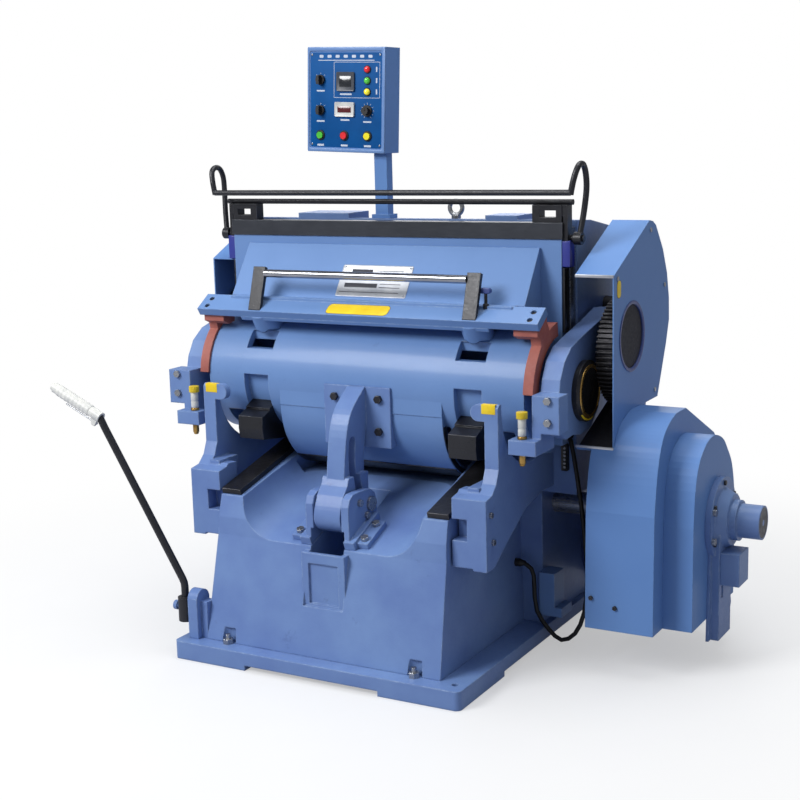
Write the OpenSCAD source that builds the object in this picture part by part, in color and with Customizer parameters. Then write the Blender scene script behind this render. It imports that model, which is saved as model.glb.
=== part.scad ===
// Platen die cutting and creasing press: platen, rocking gear, drawbars, gear train, flywheel drive.
// Frame: X across the machine, Y from the operator's side to the back, Z up, floor at Z = 0.
// The origin is the middle of the plinth. Sizes in millimetres.
// Inside the modules Y is counted from the plinth's front face; site() moves it into the frame.

/* [Plinth and base] */
// plinth width, side to side
plinth_width = 1005; // [900:5:1100]
// plinth depth, front to back
plinth_depth = 1300; // [1280:10:1450]
// plinth height
plinth_height = 57; // [45:1:80]
// height of the arches cut under the plinth
arch_height = 16; // [8:1:25]
// radius of the anchor bolt holes
anchor_hole_r = 10; // [7:0.5:13]
// anchor hole centre from the side of the plinth
anchor_edge_x = 37.5; // [32:0.5:45]
// anchor hole centre from the front and back of the plinth
anchor_edge_y = 50; // [35:1:70]
// width of the base casting at its foot
base_width = 828; // [800:2:850]
// side taper of the base casting, per side
base_taper = 10; // [0:1:20]
// depth of the pocket in the front of the base
pocket_depth = 20; // [10:1:30]
// width of the pocket the guide arm drops into
pocket_width = 116; // [96:2:120]

/* [Rails and rockers] */
// slope of the rails in degrees
rail_slope = 14; // [12:0.5:16]
// width of one rail
rail_width = 70; // [50:2:76]
// thickness of one rail
rail_thick = 18; // [12:1:22]
// rail centre from the middle of the machine
rail_x = 365; // [360:1:366]
// centre of one rocker shoe from the middle of the machine
rocker_x = 378; // [372:1:380]
// width of one rocker shoe
rocker_width = 92; // [60:2:92]
// depth of a rocker shoe below its seat
rocker_depth = 46; // [30:1:52]
// running gap between rocker and rail
roll_gap = 0.4; // [0.3:0.1:1]

/* [Platen] */
// platen plate width
plate_width = 1180; // [1100:10:1186]
// platen plate thickness
plate_thick = 40; // [34:1:40]
// platen plate top height
plate_top = 1288; // [1270:2:1300]
// height of the dark bar on top of the platen
strip_height = 49; // [30:1:60]
// radius of the lower bulge of the barrel
barrel_r = 225; // [220:1:228]
// radius of the upper round of the barrel, about the shaft
barrel_top_r = 197; // [190:1:200]
// barrel length
barrel_length = 1120; // [1080:5:1130]
// barrel wall thickness
barrel_wall = 26; // [16:1:36]
// cross beam width
beam_width = 1204; // [1150:2:1206]
// cross beam thickness
beam_thick = 26; // [18:1:30]
// radius of the bright cross rod
cross_rod_r = 13; // [8:0.5:16]
// opening angle of the platen in degrees
open_angle = 18; // [10:1:18]

/* [Shaft, drawbars and guide arm] */
// radius of the shaft in the barrel
shaft_r = 42; // [34:1:44]
// running clearance of shaft bearings, on the radius
run_gap = 0.06; // [0.02:0.01:0.1]
// drawbar thickness
bar_thick = 58; // [40:1:60]
// crank throw
crank_throw = 84; // [78:1:88]
// outer radius of the eye at the back of a drawbar
eye_r = 84; // [78:1:86]
// radius of the bearing cap on a drawbar
cap_r = 92; // [70:1:100]
// thickness of the guide arm
arm_thick = 62; // [40:2:70]
// radius of the guide pin
guide_pin_r = 17; // [12:0.5:20]
// gap between guide pin and slot, on the radius
guide_gap = 1; // [0.5:0.1:2]

/* [Gear train] */
// gear module
gear_mod = 5; // [4.9:0.05:5]
// teeth of a bull gear
bull_teeth = 64; // [64:1:64]
// teeth of a bull pinion
bull_pinion_teeth = 16; // [16:1:16]
// face width of the gears
gear_face = 54; // [40:1:56]
// flywheel radius
flywheel_r = 280; // [250:1:284]
// flywheel rim width
flywheel_face = 120; // [90:2:130]

/* [Covers] */
// sheet thickness of the gear covers
cover_sheet = 4; // [3:0.5:6]
// outer face of the gear cover from the middle of the machine
cover_x = 775; // [770:1:790]
// width of the gear cover
cover_width = 120; // [110:1:124]
// radius of the access hole in the gear cover
cover_hole_r = 98; // [70:1:104]
// front of the flywheel cover from the flywheel's axis
drum_r = 320; // [312:1:330]
// front of the clutch cover from the flywheel's axis
clutch_r = 236; // [200:2:250]
// radius of the shaft's outer end cap
shaft_end_r = 52; // [40:1:60]

/* [Controls, guard and hand lever] */
// control box face width
box_width = 290; // [250:2:320]
// control box face height
box_height = 332; // [300:2:360]
// control box depth
box_depth = 92; // [70:2:110]
// radius of a push button
button_r = 11; // [8:0.5:14]
// travel of a push button
button_travel = 5; // [3:0.5:6]
// radius of the guard frame's tube
guard_r = 9; // [7:0.5:10]
// length of the straight part of the hand lever
lever_length = 560; // [450:10:600]
// radius of the hand lever
lever_r = 12; // [8:0.5:14]

/* [Hidden] */
$fn = 96;
eps = 0.02;
touch = 0.3;
paint = [0.36, 0.56, 0.82];
paint_deep = [0.22, 0.36, 0.62];
black = [0.09, 0.09, 0.11];
steel = [0.62, 0.63, 0.66];
brass = [0.72, 0.58, 0.3];

// main axes, as [y, z]
shaft_c = [530, 843];
belly_c = [562, 768];
fly_c = [755, 433];
guide_c = [262, 500];
eye_c = [800, 975];
crank_c = eye_c - crank_throw * (eye_c - shaft_c) / norm(eye_c - shaft_c);
rail_p = [455, 601];
rail_d = [cos(rail_slope), sin(rail_slope)];
rocker_r = abs((shaft_c[0] - rail_p[0]) * rail_d[1] - (shaft_c[1] - rail_p[1]) * rail_d[0]);
roll_travel = rocker_r * open_angle * PI / 180;
shaft_open = shaft_c - roll_travel * rail_d;

// gear radii and shaft places
bull_r = gear_mod * bull_teeth / 2;
bull_pin_r = gear_mod * bull_pinion_teeth / 2;
pinion_ang = 35;
pinion_c = crank_c + (bull_r + bull_pin_r) * [cos(pinion_ang), sin(pinion_ang)];
mid_teeth = 78;
mid_pinion_teeth = 64;
low_teeth = 112;
fly_pinion_teeth = 18;
kp = gear_mod * (mid_teeth + mid_pinion_teeth) / 2;
kf = gear_mod * (low_teeth + fly_pinion_teeth) / 2;
pf = norm(pinion_c - fly_c);
pf_u = (pinion_c - fly_c) / pf;
ka = (kf * kf - kp * kp + pf * pf) / (2 * pf);
kh = sqrt(kf * kf - ka * ka);
counter_c = fly_c + ka * pf_u + kh * [pf_u[1], -pf_u[0]];
tooth_gap = 0.35;

// plate and bed planes
plate_y = 546;
plate_back = plate_y + plate_thick;
die_gap = 26;
bed_y = plate_back + die_gap;
bed_thick = 40;
wall_x = 596;
wall_t = 40;
body_y = bed_y + bed_thick;
body_back = 1268;
body_top = 1338;
base_back = 640;
bar_in = 606;
bar_out = bar_in + bar_thick;
gear_in = 690;
beam_front = [338, 1063];
beam_back = [400, 1104];
beam_ang = atan2(beam_back[1] - beam_front[1], beam_back[0] - beam_front[0]);
beam_len = norm(beam_back - beam_front);

// a smooth path through the points, with n steps from each to the next
function blend3(a, b, c, d, t) = ((2 * b) + (c - a) * t + (2 * a - 5 * b + 4 * c - d) * t * t
    + (3 * b - a - 3 * c + d) * t * t * t) / 2;

function smooth(pts, n) = let (m = len(pts) - 1) concat(
    [for (i = [0 : m - 1], k = [0 : n - 1])
        blend3(pts[max(i - 1, 0)], pts[i], pts[i + 1], pts[min(i + 2, m)], k / n)],
    [pts[m]]);

module site() translate([0, -plinth_depth / 2, 0]) children();

module both() {
    children();
    mirror([1, 0, 0]) children();
}

module xcyl(x0, x1, c, r) translate([x0, c[0], c[1]]) rotate([0, 90, 0]) cylinder(h = x1 - x0, r = r);

module xcone(x0, x1, c, r0, r1) translate([x0, c[0], c[1]]) rotate([0, 90, 0]) cylinder(h = x1 - x0, r1 = r0, r2 = r1);

module ycyl(y0, y1, x, z, r) translate([x, y1, z]) rotate([90, 0, 0]) cylinder(h = y1 - y0, r = r);

module zcyl(z0, z1, x, y, r) translate([x, y, z0]) cylinder(h = z1 - z0, r = r);

module block(a, b) translate(a) cube(b - a);

// a solid drawn in the Y-Z plane and drawn out along X
module xprism(x0, x1, pts) translate([x0, 0, 0]) rotate([90, 0, 90]) linear_extrude(x1 - x0) polygon(pts);

// a solid drawn in the X-Z plane and drawn out along Y
module yprism(y0, y1, pts) translate([0, y1, 0]) rotate([90, 0, 0]) linear_extrude(y1 - y0) polygon(pts);

// a ring sector about an X axis; angles from +Y towards +Z
module xsector(x0, x1, c, r0, r1, a0, a1)
    translate([x0, c[0], c[1]]) rotate([90, 0, 90]) rotate([0, 0, a0])
        rotate_extrude(angle = a1 - a0) translate([r0, 0]) square([r1 - r0, x1 - x0]);

function arc(c, r, a0, a1, n) = [for (i = [0 : n]) c + r * [cos(a0 + (a1 - a0) * i / n), sin(a0 + (a1 - a0) * i / n)]];

function turn(p, a) = [p[0] * cos(a) - p[1] * sin(a), p[0] * sin(a) + p[1] * cos(a)];

// where the fixed guide pin stands in the platen's own frame when the platen is open by angle a
function pin_path(a) = shaft_c + turn(guide_c - shaft_c + rocker_r * a * PI / 180 * rail_d, -a);

// a spur gear with straight flanked teeth
module gear(teeth, face, bore, web) {
    pr = gear_mod * teeth / 2;
    ra = pr + 0.75 * gear_mod;
    rf = pr - 1.15 * gear_mod;
    pitch = 360 / teeth;
    lean = 0.36 * gear_mod * 180 / PI / pr;
    half = pitch / 4 - tooth_gap / 2 * 180 / PI / pr;
    difference() {
        linear_extrude(face, center = true)
            polygon([for (i = [0 : teeth - 1]) each [
                rf * [cos(i * pitch - half - lean), sin(i * pitch - half - lean)],
                ra * [cos(i * pitch - half + lean * 0.75), sin(i * pitch - half + lean * 0.75)],
                ra * [cos(i * pitch + half - lean * 0.75), sin(i * pitch + half - lean * 0.75)],
                rf * [cos(i * pitch + half + lean), sin(i * pitch + half + lean)]]]);
        if (bore > 0)
            cylinder(h = face + 2, r = bore, center = true);
        if (web > 0)
            for (s = [-1, 1])
                translate([0, 0, s * (face / 2)])
                    difference() {
                        cylinder(h = 2 * web, r = rf - 14, center = true);
                        cylinder(h = 2 * web + 2, r = bore + 26, center = true);
                    }
    }
}

module xgear(x, c, teeth, face, bore, web, phase)
    translate([x, c[0], c[1]]) rotate([90, 0, 90]) rotate([0, 0, phase]) gear(teeth, face, bore, web);

function mesh_phase(phase, t0, t1, ang) = ang + 180 - 360 / t1 * (0.5 - (ang - phase) * t0 / 360);

function line_ang(a, b) = atan2(b[1] - a[1], b[0] - a[0]);

function rail_z(y) = rail_p[1] + (y - rail_p[0]) * tan(rail_slope);

// the two sides of a path, offset by w, as one closed outline
function ribbon(pts, w) = let (
    n = len(pts),
    t = [for (i = [0 : n - 1]) let (a = pts[max(i - 1, 0)], b = pts[min(i + 1, n - 1)]) (b - a) / norm(b - a)]
) concat(
    [for (i = [0 : n - 1]) pts[i] + w * [-t[i][1], t[i][0]]],
    [for (i = [n - 1 : -1 : 0]) pts[i] - w * [-t[i][1], t[i][0]]]
);

// ---- plinth and base ----
front_y = 56;
edge_y = 128;
edge_z = 384;
floor_slope = 21.8;
floor_top_z = 527;
ridge_in = rail_x - rail_width / 2 - 12;
dish_r = 118;

module rounded_slab(x0, y0, x1, y1, z0, z1, r) {
    block([x0 + r, y0, z0], [x1 - r, y1, z1]);
    block([x0, y0 + r, z0], [x1, y1 - r, z1]);
    for (x = [x0 + r, x1 - r], y = [y0 + r, y1 - r])
        zcyl(z0, z1, x, y, r);
}

module plinth() color(paint) site() difference() {
    rounded_slab(-plinth_width / 2, 0, plinth_width / 2, plinth_depth, 0, plinth_height, 18);
    block([-235, -1, -1], [235, plinth_depth + 1, arch_height]);
    block([-plinth_width, 300, -1], [plinth_width, plinth_depth - 300, arch_height]);
    for (x = [-1, 1], y = [-1, 1])
        zcyl(-1, plinth_height + 1, x * (plinth_width / 2 - anchor_edge_x),
            plinth_depth / 2 + y * (plinth_depth / 2 - anchor_edge_y), anchor_hole_r);
}

// the tapered outline of the base casting between two heights
module base_sides(g) yprism(-10, base_back + 10, [
    [-base_width / 2 - g, plinth_height], [base_width / 2 + g, plinth_height],
    [base_width / 2 + g - base_taper * 1.8, 646], [-base_width / 2 - g + base_taper * 1.8, 646]]);

module dish() {
    block([-ridge_in, -80, dish_r], [ridge_in, 900, 600]);
    block([-ridge_in + dish_r, -80, 0], [ridge_in - dish_r, 900, dish_r + 1]);
    for (s = [-1, 1])
        ycyl(-80, 900, s * (ridge_in - dish_r), dish_r, dish_r);
}

module on_floor() translate([0, edge_y, edge_z]) rotate([floor_slope, 0, 0]) children();

module base_casting() color(paint) site() difference() {
    union() {
        chute();
        intersection() {
        xprism(-base_width / 2, base_width / 2, [
            [front_y, plinth_height], [edge_y, edge_z], [edge_y + 4, 440], [edge_y + 22, rail_z(edge_y + 22) - rail_thick],
            [base_back, rail_z(base_back) - rail_thick], [base_back, plinth_height]]);
            base_sides(0);
        }
    }
    intersection() {
        on_floor() dish();
        block([-600, 0, floor_top_z], [600, 900, 900]);
    }
    intersection() {
        on_floor() dish();
        block([-600, 0, 300], [600, edge_y + (floor_top_z - edge_z) / tan(floor_slope), 900]);
    }
    block([-300, 430, floor_top_z], [300, 900, 900]);
    pocket();
    for (s = [-1, 1])
        zcyl(plinth_height - 1, plinth_height + 46, s * foot_bolt_x, foot_bolt_y, 25);
}

foot_bolt_x = 330;
foot_bolt_y = 52;
chute_y = 98;

// the box in the front of the base that the foot of the guide arm drops into
module chute() xprism(-76, 76, [[chute_y, 205], [200, 205], [200, 372], [chute_y, 372]]);

module pocket() {
    w = pocket_width / 2;
    block([-w, chute_y + 14, 205], [w, 420, 700]);
    block([-w, 60, 372], [w, 140, 700]);
    block([-w - 12, 0, 206], [w + 12, chute_y, 372]);
    block([-w + 6, 0, 214], [w - 6, chute_y + 14 - pocket_depth / 3, 340]);
}

module rocker_rails() color(black) site() both() difference() {
    translate([rail_x - rail_width / 2, rail_p[0], rail_p[1]]) rotate([rail_slope, 0, 0])
        block([0, -312, -rail_thick * cos(rail_slope)], [rail_width, 178, 0]);
    block([0, base_back, 0], [600, 900, 900]);
}

// ---- body, bed and die chase ----
module main_body() color(paint) site() difference() {
    union() {
        xprism(-wall_x, wall_x, [[body_y, 490], [body_back, 490], [body_back, 980], [1160, 1180], [1000, 1290],
            [760, body_top - 6], [body_y, body_top]]);
        block([-wall_x, base_back, 490], [wall_x, body_y + 1, 700]);
        block([-480, base_back, plinth_height], [480, body_back, 491]);
        block([-400, body_y, body_top - 20], [-205, body_y + 130, body_top + 16]);
        block([290, body_y, body_top - 20], [400, body_y + 110, body_top + 12]);
    }
    xprism(-wall_x + wall_t, wall_x - wall_t, [[body_y - 1, 530], [body_back - 36, 530], [body_back - 36, 968],
        [1134, 1154], [986, 1255], [757, body_top - 42], [body_y - 1, body_top - 36]]);
    block([-440, base_back + 36, 96], [440, body_back - 36, 531]);
    xcyl(-700, 700, pinion_c, 30 + run_gap);
    xcyl(-596, 596, counter_c, 34 + run_gap);
    xcyl(-500, 500, fly_c, 36 + run_gap);
    for (s = [-1, 1])
        xcyl(s * wall_x - 12, s * wall_x + 12, crank_c, 66);
}

// opening of the chase, half width and heights, and the bed's pad in it
chase_x = 500;
chase_low = 750;
chase_top = 1210;
pad_gap = 0.5;
pad_rise = 1;

module bed_plate() color(steel) site() difference() {
    union() {
        block([-590, bed_y, 700], [590, body_y, 1318]);
        block([-chase_x + pad_gap, bed_y - pad_rise, chase_low + pad_gap],
            [chase_x - pad_gap, bed_y + 1, chase_top - pad_gap]);
    }
    for (s = [-1, 1])
        block([s * 560 - 12, bed_y - 1, 1120], [s * 560 + 12, bed_y + 14, 1320]);
}

module die_chase() color([0.45, 0.46, 0.48]) site() difference() {
    block([-535, bed_y - 22, 715], [535, bed_y, 1245]);
    block([-chase_x, bed_y - 40, chase_low], [chase_x, bed_y + 2, chase_top]);
}

// ---- guide brackets on the corners of the base, hollowed at the back for the barrel's travel ----
module guide_bracket() difference() {
    union() {
        xprism(476, 520, [
            [155, 366], [205, 366], [300, 424], [431, 492], [552, 516], [base_back, 516], [base_back, 630],
            [500, 640], [420, 668], [372, 724], [352, 778], [352, 838], [250, 838], [242, 830], [242, 650],
            [224, 610], [196, 584], [155, 577]]);
        block([410, 155, 372], [477, 250, 577]);
        xprism(410, 477, [[155, 560], [250, 560], [250, 590], [205, 592], [196, 584], [155, 577]]);
        block([456, 242, 788], [477, 352, 838]);
        ycyl(242, 352, 456, 813, 25);
        block([440, 200, 560], [477, 300, 600]);
    }
    block([380, 140, 452], [458, 200, 516]);
    base_sides(0);
    block([-600, base_back, 0], [600, 900, 900]);
    xprism(300, 700, concat(arc(shaft_open, barrel_top_r + 3, 90 + rail_slope, 270 + rail_slope, 24),
        arc(shaft_c, barrel_top_r + 3, 270 + rail_slope, 450 + rail_slope, 24)));
}

module guide_bracket_right() color(paint) site() guide_bracket();

module guide_bracket_left() color(paint) site() mirror([1, 0, 0]) guide_bracket();

// ---- clevis for the guide arm ----
foot_thick = arm_thick + 30;
lug_in = foot_thick / 2 + 4;
lug_out = lug_in + 26;
module clevis() difference() {
    union() {
        xprism(lug_in, lug_out, [[132, 380], [300, 446], [300, 500], [288, 530], [262, 546], [200, 550], [162, 549],
            [142, 538], [132, 515]]);
        on_floor() {
            block([pocket_width / 2 + 1, 6, 0], [lug_out + 20, 170, 26]);
            block([lug_out - 2, 20, 0], [lug_out + 58, 140, 18]);
        }
    }
    block([0, 0, 0], [pocket_width / 2 + 1, 500, 440]);
    on_floor() block([0, -60, -60], [300, 300, 0]);
    xcyl(0, 200, guide_c, guide_pin_r + 0.05);
    on_floor() for (y = clevis_bolts)
        zcyl(-30, 60, lug_out + 38, y, 8.5);
}

clevis_bolts = [42, 116];

module clevises() color(paint) site() both() clevis();

module guide_pin() color(steel) site() union() {
    xcyl(-lug_out - 6, lug_out + 6, guide_c, guide_pin_r);
    xcyl(lug_out + 0.02, lug_out + 8, guide_c, guide_pin_r + 6);
}

// ---- covers ----
cover_pts = [[491, 681], [505, 668], [768, 773], [873, 774], [951, 933], [978, 1005], [975, 1075],
    [955, 1155], [915, 1232], [849, 1311], [822, 1325], [791, 1330], [491, 1191], [491, 1181]];
cover_in_pts = [[480, 687], [506, 673], [767, 777.5], [870, 778.5], [946.5, 934], [973.5, 1005], [970.5, 1074],
    [951, 1153], [911.5, 1229], [846, 1307], [820, 1320.5], [792, 1325.5], [480, 1182]];

module gear_cover_right() color(paint) site() difference() {
    union() {
        difference() {
            xprism(cover_x - cover_width, cover_x, cover_pts);
            xprism(cover_x - cover_width - 1, cover_x - cover_sheet, cover_in_pts);
        }
        xcyl(gear_in - 4, cover_x - 1, crank_c, 40);
        xcyl(gear_in + gear_face + 3, cover_x - 1, crank_c, 60);
        block([wall_x, 915, 850], [cover_x - cover_width + 6, 945, 1000]);
    }
    xcyl(cover_x - 20, cover_x + 5, [641, 996], cover_hole_r);
    xcyl(gear_in - 10, gear_in + 30, crank_c, 14);
    for (p = cover_screws)
        xcyl(cover_x - 20, cover_x + 5, p, 4.3);
}

cover_screws = [[520, 700], [520, 1180], [800, 1300], [930, 1120], [845, 800]];
left_x = 692;
left_face = 11;
left_pts = [[560, 715], [575, 700], [800, 700], [930, 760], [985, 900], [985, 1080], [940, 1180], [850, 1262],
    [760, 1290], [700, 1270], [560, 1205]];
left_in_pts = [[550, 720], [577, 705], [799, 705], [926, 764], [980, 901], [980, 1079], [936, 1177], [847, 1257],
    [760, 1285], [702, 1265], [550, 1197]];

module gear_cover_left() color(paint) site() mirror([1, 0, 0]) difference() {
    union() {
        difference() {
            xprism(wall_x, left_x, left_pts);
            xprism(wall_x - 1, left_x - cover_sheet, left_in_pts);
        }
        xcyl(bar_out + 11, left_x - 1, crank_c, 34);
    }
    xcyl(bar_out, bar_out + 12, crank_c, 12);
}

fly_in = 706;
fly_mid = 918;
fly_out = 1009;
fly_bottom = 142;
drum_y = fly_c[0] - drum_r;
clutch_y = fly_c[0] - clutch_r;

// outlines of the two steps of the cover, drawn in by d
function drum_pts(d) = concat(
    [[drum_y + d, fly_bottom - d]],
    smooth([[drum_y + 9 + d, 500], [drum_y + 30 + d, 612 - d / 4], [drum_y + 62 + d, 694 - d / 2],
        [drum_y + 112 + d / 2, 745 - d], [drum_y + 192 + d / 4, 774 - d]], 5),
    [[720, 774 - d]],
    smooth([[1006 - d / 2, 643 - d], [1110 - d, 540 - d / 2], [1160 - d, 400], [1166 - d, 210]], 4),
    [[1152 - d, fly_bottom - d]]);

function clutch_pts(d) = concat(
    [[clutch_y + d, fly_bottom - d]],
    smooth([[clutch_y + 4 + d, 455], [clutch_y + 18 + d, 565], [clutch_y + 52 + d, 642 - d / 2],
        [clutch_y + 120 + d / 2, 688 - d], [718, 698 - d], [800 - d / 3, 672 - d], [850 - d, 630 - d / 2],
        [900 - d, 572], [930 - d, 483], [938 - d, 400]], 4),
    [[938 - d, fly_bottom - d]]);

module cover_shell() difference() {
    union() {
        xprism(fly_in, fly_mid, drum_pts(0));
        xprism(fly_mid - 1, fly_out, clutch_pts(0));
    }
    difference() {
        union() {
            xprism(fly_in - 1, fly_mid - cover_sheet, drum_pts(cover_sheet + 0.01));
            xprism(fly_in - 1, fly_out - cover_sheet, clutch_pts(cover_sheet + 0.01));
        }
        block([600, 0, 0], [1200, 1300, fly_bottom + cover_sheet]);
    }
    xcyl(fly_out - 20, fly_out + 5, fly_c, 120);
    xcyl(fly_in - 1, fly_in + 10, fly_c, 60);
    for (y = [drum_y + 60, drum_y + 200])
        zcyl(fly_bottom - 5, fly_bottom + 20, fly_in + 60, y, 5);
    xprism(cover_x - cover_width - 1, cover_x + touch, cover_pts);
}

module flywheel_cover() color(paint) site() intersection() {
    cover_shell();
    block([fly_in - 5, 0, 0], [fly_mid, 1300, 900]);
}

module clutch_cover() color(paint) site() intersection() {
    cover_shell();
    block([fly_mid, 0, 0], [fly_out + 5, 1300, 900]);
}

// ---- outboard bearing of the flywheel shaft, brush box ----
module outboard_bearing() color(paint) site() difference() {
    union() {
        xcyl(fly_out, fly_out + 20, fly_c, 128);
        xcone(fly_out + 19, fly_out + 52, fly_c, 96, 78);
        xcyl(fly_out + 51, 1082, fly_c, 62);
        xcyl(1081, 1150, fly_c, shaft_end_r);
        block([fly_out + 8, fly_c[0] - 84, 72], [fly_out + 34, fly_c[0] + 36, fly_c[1]]);
        xprism(fly_out, fly_out + 9, [[fly_c[0] - 104, 72], [fly_c[0] + 100, 72], [fly_c[0] + 130, 130],
            [fly_c[0] + 62, fly_c[1] - 90], [fly_c[0] - 90, fly_c[1] - 80]]);
    }
    xcyl(fly_out - 1, 1088, fly_c, 36 + run_gap);
    block([fly_out + 20, fly_c[0] - 60, 200], [fly_out + 40, fly_c[0] - 44, 330]);
}

module brush_box() color(paint) site() difference() {
    block([fly_out + 34, fly_c[0] - 76, 246], [fly_out + 92, fly_c[0] + 20, 346]);
    block([fly_out + 33, fly_c[0] - 56, 262], [fly_out + 40, fly_c[0], 330]);
}

// ---- control post and box ----
box_c = [-197, 645, 1716];
box_lean = 2.5;

module on_box() translate(box_c) rotate([0, box_lean, 0]) children();

function face_at(u, v) = [box_width * (u - 0.5), box_height * (0.5 - v)];

sel_a = face_at(0.17, 0.31);
sel_b = face_at(0.17, 0.6);
knob_p = face_at(0.775, 0.6);
push_a = face_at(0.17, 0.84);
push_b = face_at(0.48, 0.84);
push_c = face_at(0.78, 0.84);
lamp_p = [face_at(0.775, 0.21), face_at(0.775, 0.315), face_at(0.775, 0.42)];

module box_envelope(g) on_box()
    block([-box_width / 2 - g, -g, -box_height / 2 - g], [box_width / 2 + g, box_depth + g, box_height / 2 + g]);

module control_box() color(paint) site() difference() {
    box_envelope(0);
    on_box() {
        block([-box_width / 2 + 3, 3, -box_height / 2 + 3], [box_width / 2 - 3, box_depth - 3, box_height / 2 - 3]);
        for (p = [push_a, push_b, push_c])
            ycyl(-1, 10, p[0], p[1], button_r + touch);
    }
}

module control_post() color(paint) site() difference() {
    union() {
    block([-112, 668, body_top - 2], [-66, 704, 1600]);
    block([-122, 660, body_top - 2], [-56, 712, body_top + 12]);
    }
    xprism(-200, 100, [[600, 1200], [body_y, body_top], [760, body_top - 6], [760, 1200]]);
    box_envelope(0);
    block([-200, 600, 1556], [100, 800, 1700]);
    block([-106, 674, body_top - 10], [-72, 698, 1530]);
}

module lamps() color([0.8, 0.2, 0.15]) site() on_box() for (p = lamp_p) {
    ycyl(-5, 0, p[0], p[1], 10);
    ycyl(-12, -4.98, p[0], p[1], 7.5);
}

module selector(p) on_box() {
    ycyl(-8, -touch, p[0], p[1], 16);
    difference() {
        ycyl(-22, -7.98, p[0], p[1], 14);
        for (s = [-1, 1])
            block([p[0] + s * 11 - 6, -30, p[1] - 20], [p[0] + s * 11 + 6, -8, p[1] + 20]);
    }
}

module selector_upper() color(black) site() selector(sel_a);

module selector_lower() color(black) site() selector(sel_b);

module rotary_knob() color(black) site() on_box() {
    ycyl(-6, -touch, knob_p[0], knob_p[1], 18);
    ycyl(-20, -5.98, knob_p[0], knob_p[1], 12);
    block([knob_p[0] - 2, -21.5, knob_p[1]], [knob_p[0] + 2, -19.9, knob_p[1] + 11]);
}

module button(p) on_box() ycyl(-9, 3.5, p[0], p[1], button_r);

module button_green() color([0.1, 0.55, 0.3]) site() button(push_a);

module button_red() color([0.75, 0.12, 0.12]) site() button(push_b);

module button_yellow() color([0.85, 0.75, 0.2]) site() button(push_c);

// ---- motor, junction box, cable ----
motor_c = [1080, 215];

module motor() color(paint_deep) site() difference() {
    union() {
        xcyl(480, 494, motor_c, 118);
        xcyl(493, 690, motor_c, 96);
        xcyl(689, 700, motor_c, 60);
        for (i = [0 : 15])
            translate([512, motor_c[0], motor_c[1]]) rotate([i * 22.5, 0, 0]) block([0, -3, 90], [160, 3, 105]);
        block([540, motor_c[0] - 50, motor_c[1] + 90], [640, motor_c[0] + 50, motor_c[1] + 140]);
    }
    xcyl(600, 701, motor_c, 19 + run_gap);
}

module junction_box() color(paint) site() union() {
    block([480, 612, 122], [532, 690, 232]);
    block([480, 612, 92], [556, 694, 122.01]);
}

cable_r = 7;
cable_pts = [[420, 595, 262], [442, 595, 259], [460, 596, 247], [468, 597, 225], [469, 598, 190], [470, 599, 150],
    [477, 600, 108], [494, 600, 80], [516, 600, 54], [538, 600, 34], [560, 600, 24], [584, 600, 32], [606, 600, 52],
    [624, 600, 84], [637, 601, 126], [644, 602, 175], [646, 603, 230], [643, 604, 300], [636, 605, 380],
    [627, 606, 460], [616, 607, 530], [606, 608, 590], [597, 611, 634], [588, 617, 662], [580, 624, 675],
    [576, 632, 678]];

function unit(v) = v / norm(v);

function tangent(pts, i) = unit(pts[min(i + 1, len(pts) - 1)] - pts[max(i - 1, 0)]);

function ring(pts, i, r, n) = let (t = tangent(pts, i), u = unit(cross(t, [0.05, 1, 0.08])), v = cross(t, u))
    [for (k = [0 : n - 1]) pts[i] + r * (cos(360 * k / n) * u + sin(360 * k / n) * v)];

module tube(pts, r, n) {
    m = len(pts);
    polyhedron(
        points = [for (i = [0 : m - 1]) each ring(pts, i, r, n)],
        faces = concat([[for (k = [0 : n - 1]) k]],
            [for (i = [0 : m - 2], k = [0 : n - 1])
                [i * n + k, (i + 1) * n + k, (i + 1) * n + (k + 1) % n, i * n + (k + 1) % n]],
            [[for (k = [n - 1 : -1 : 0]) (m - 1) * n + k]]));
}

module cable() color(black) site() tube(cable_pts, cable_r, 12);

module cable_gland() color(black) site() {
    difference() {
        xcyl(404, 420, [595, 262], 13);
        base_sides(0);
    }
    ycyl(632, base_back, 576, 678, 12);
}

// ---- platen ----
module belly(g) {
    xcyl(-700, 700, shaft_c, barrel_top_r + g);
    xcyl(-700, 700, belly_c, barrel_r + g);
    block([-700, min(shaft_c[0] - barrel_top_r, belly_c[0] - barrel_r) + 2 - g, belly_c[1]],
        [700, plate_y + 10, shaft_c[1]]);
}

rock_a0 = -90 + rail_slope + 10;
rock_a1 = -155;

rock_in = rocker_x - rocker_width / 2;
rock_out = rocker_x + rocker_width / 2;
toe_a = -90 + rail_slope - open_angle - 4;
toe_p = shaft_c + rocker_r * [cos(toe_a), sin(toe_a)];
toe_t = [sin(toe_a), -cos(toe_a)];
toe_length = 206;

module rocker_space(g) both()
    xsector(rock_in - g, rock_out + g, shaft_c, rocker_r - rocker_depth - g, rocker_r + 60, rock_a1 - 30, rock_a0 + 20);

module platen_plate() color(paint) site() difference() {
    block([-plate_width / 2, plate_y, 665], [plate_width / 2, plate_back, plate_top]);
    xcyl(-700, 700, shaft_c, shaft_r + run_gap);
    xcyl(-480, 480, shaft_c, shaft_r + 4);
    rocker_space(0);
}

module platen_strip() color([0.25, 0.26, 0.29]) site()
    block([-plate_width / 2 - 4, plate_y - 4, plate_top], [plate_width / 2 + 4, plate_back, plate_top + strip_height]);

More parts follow.
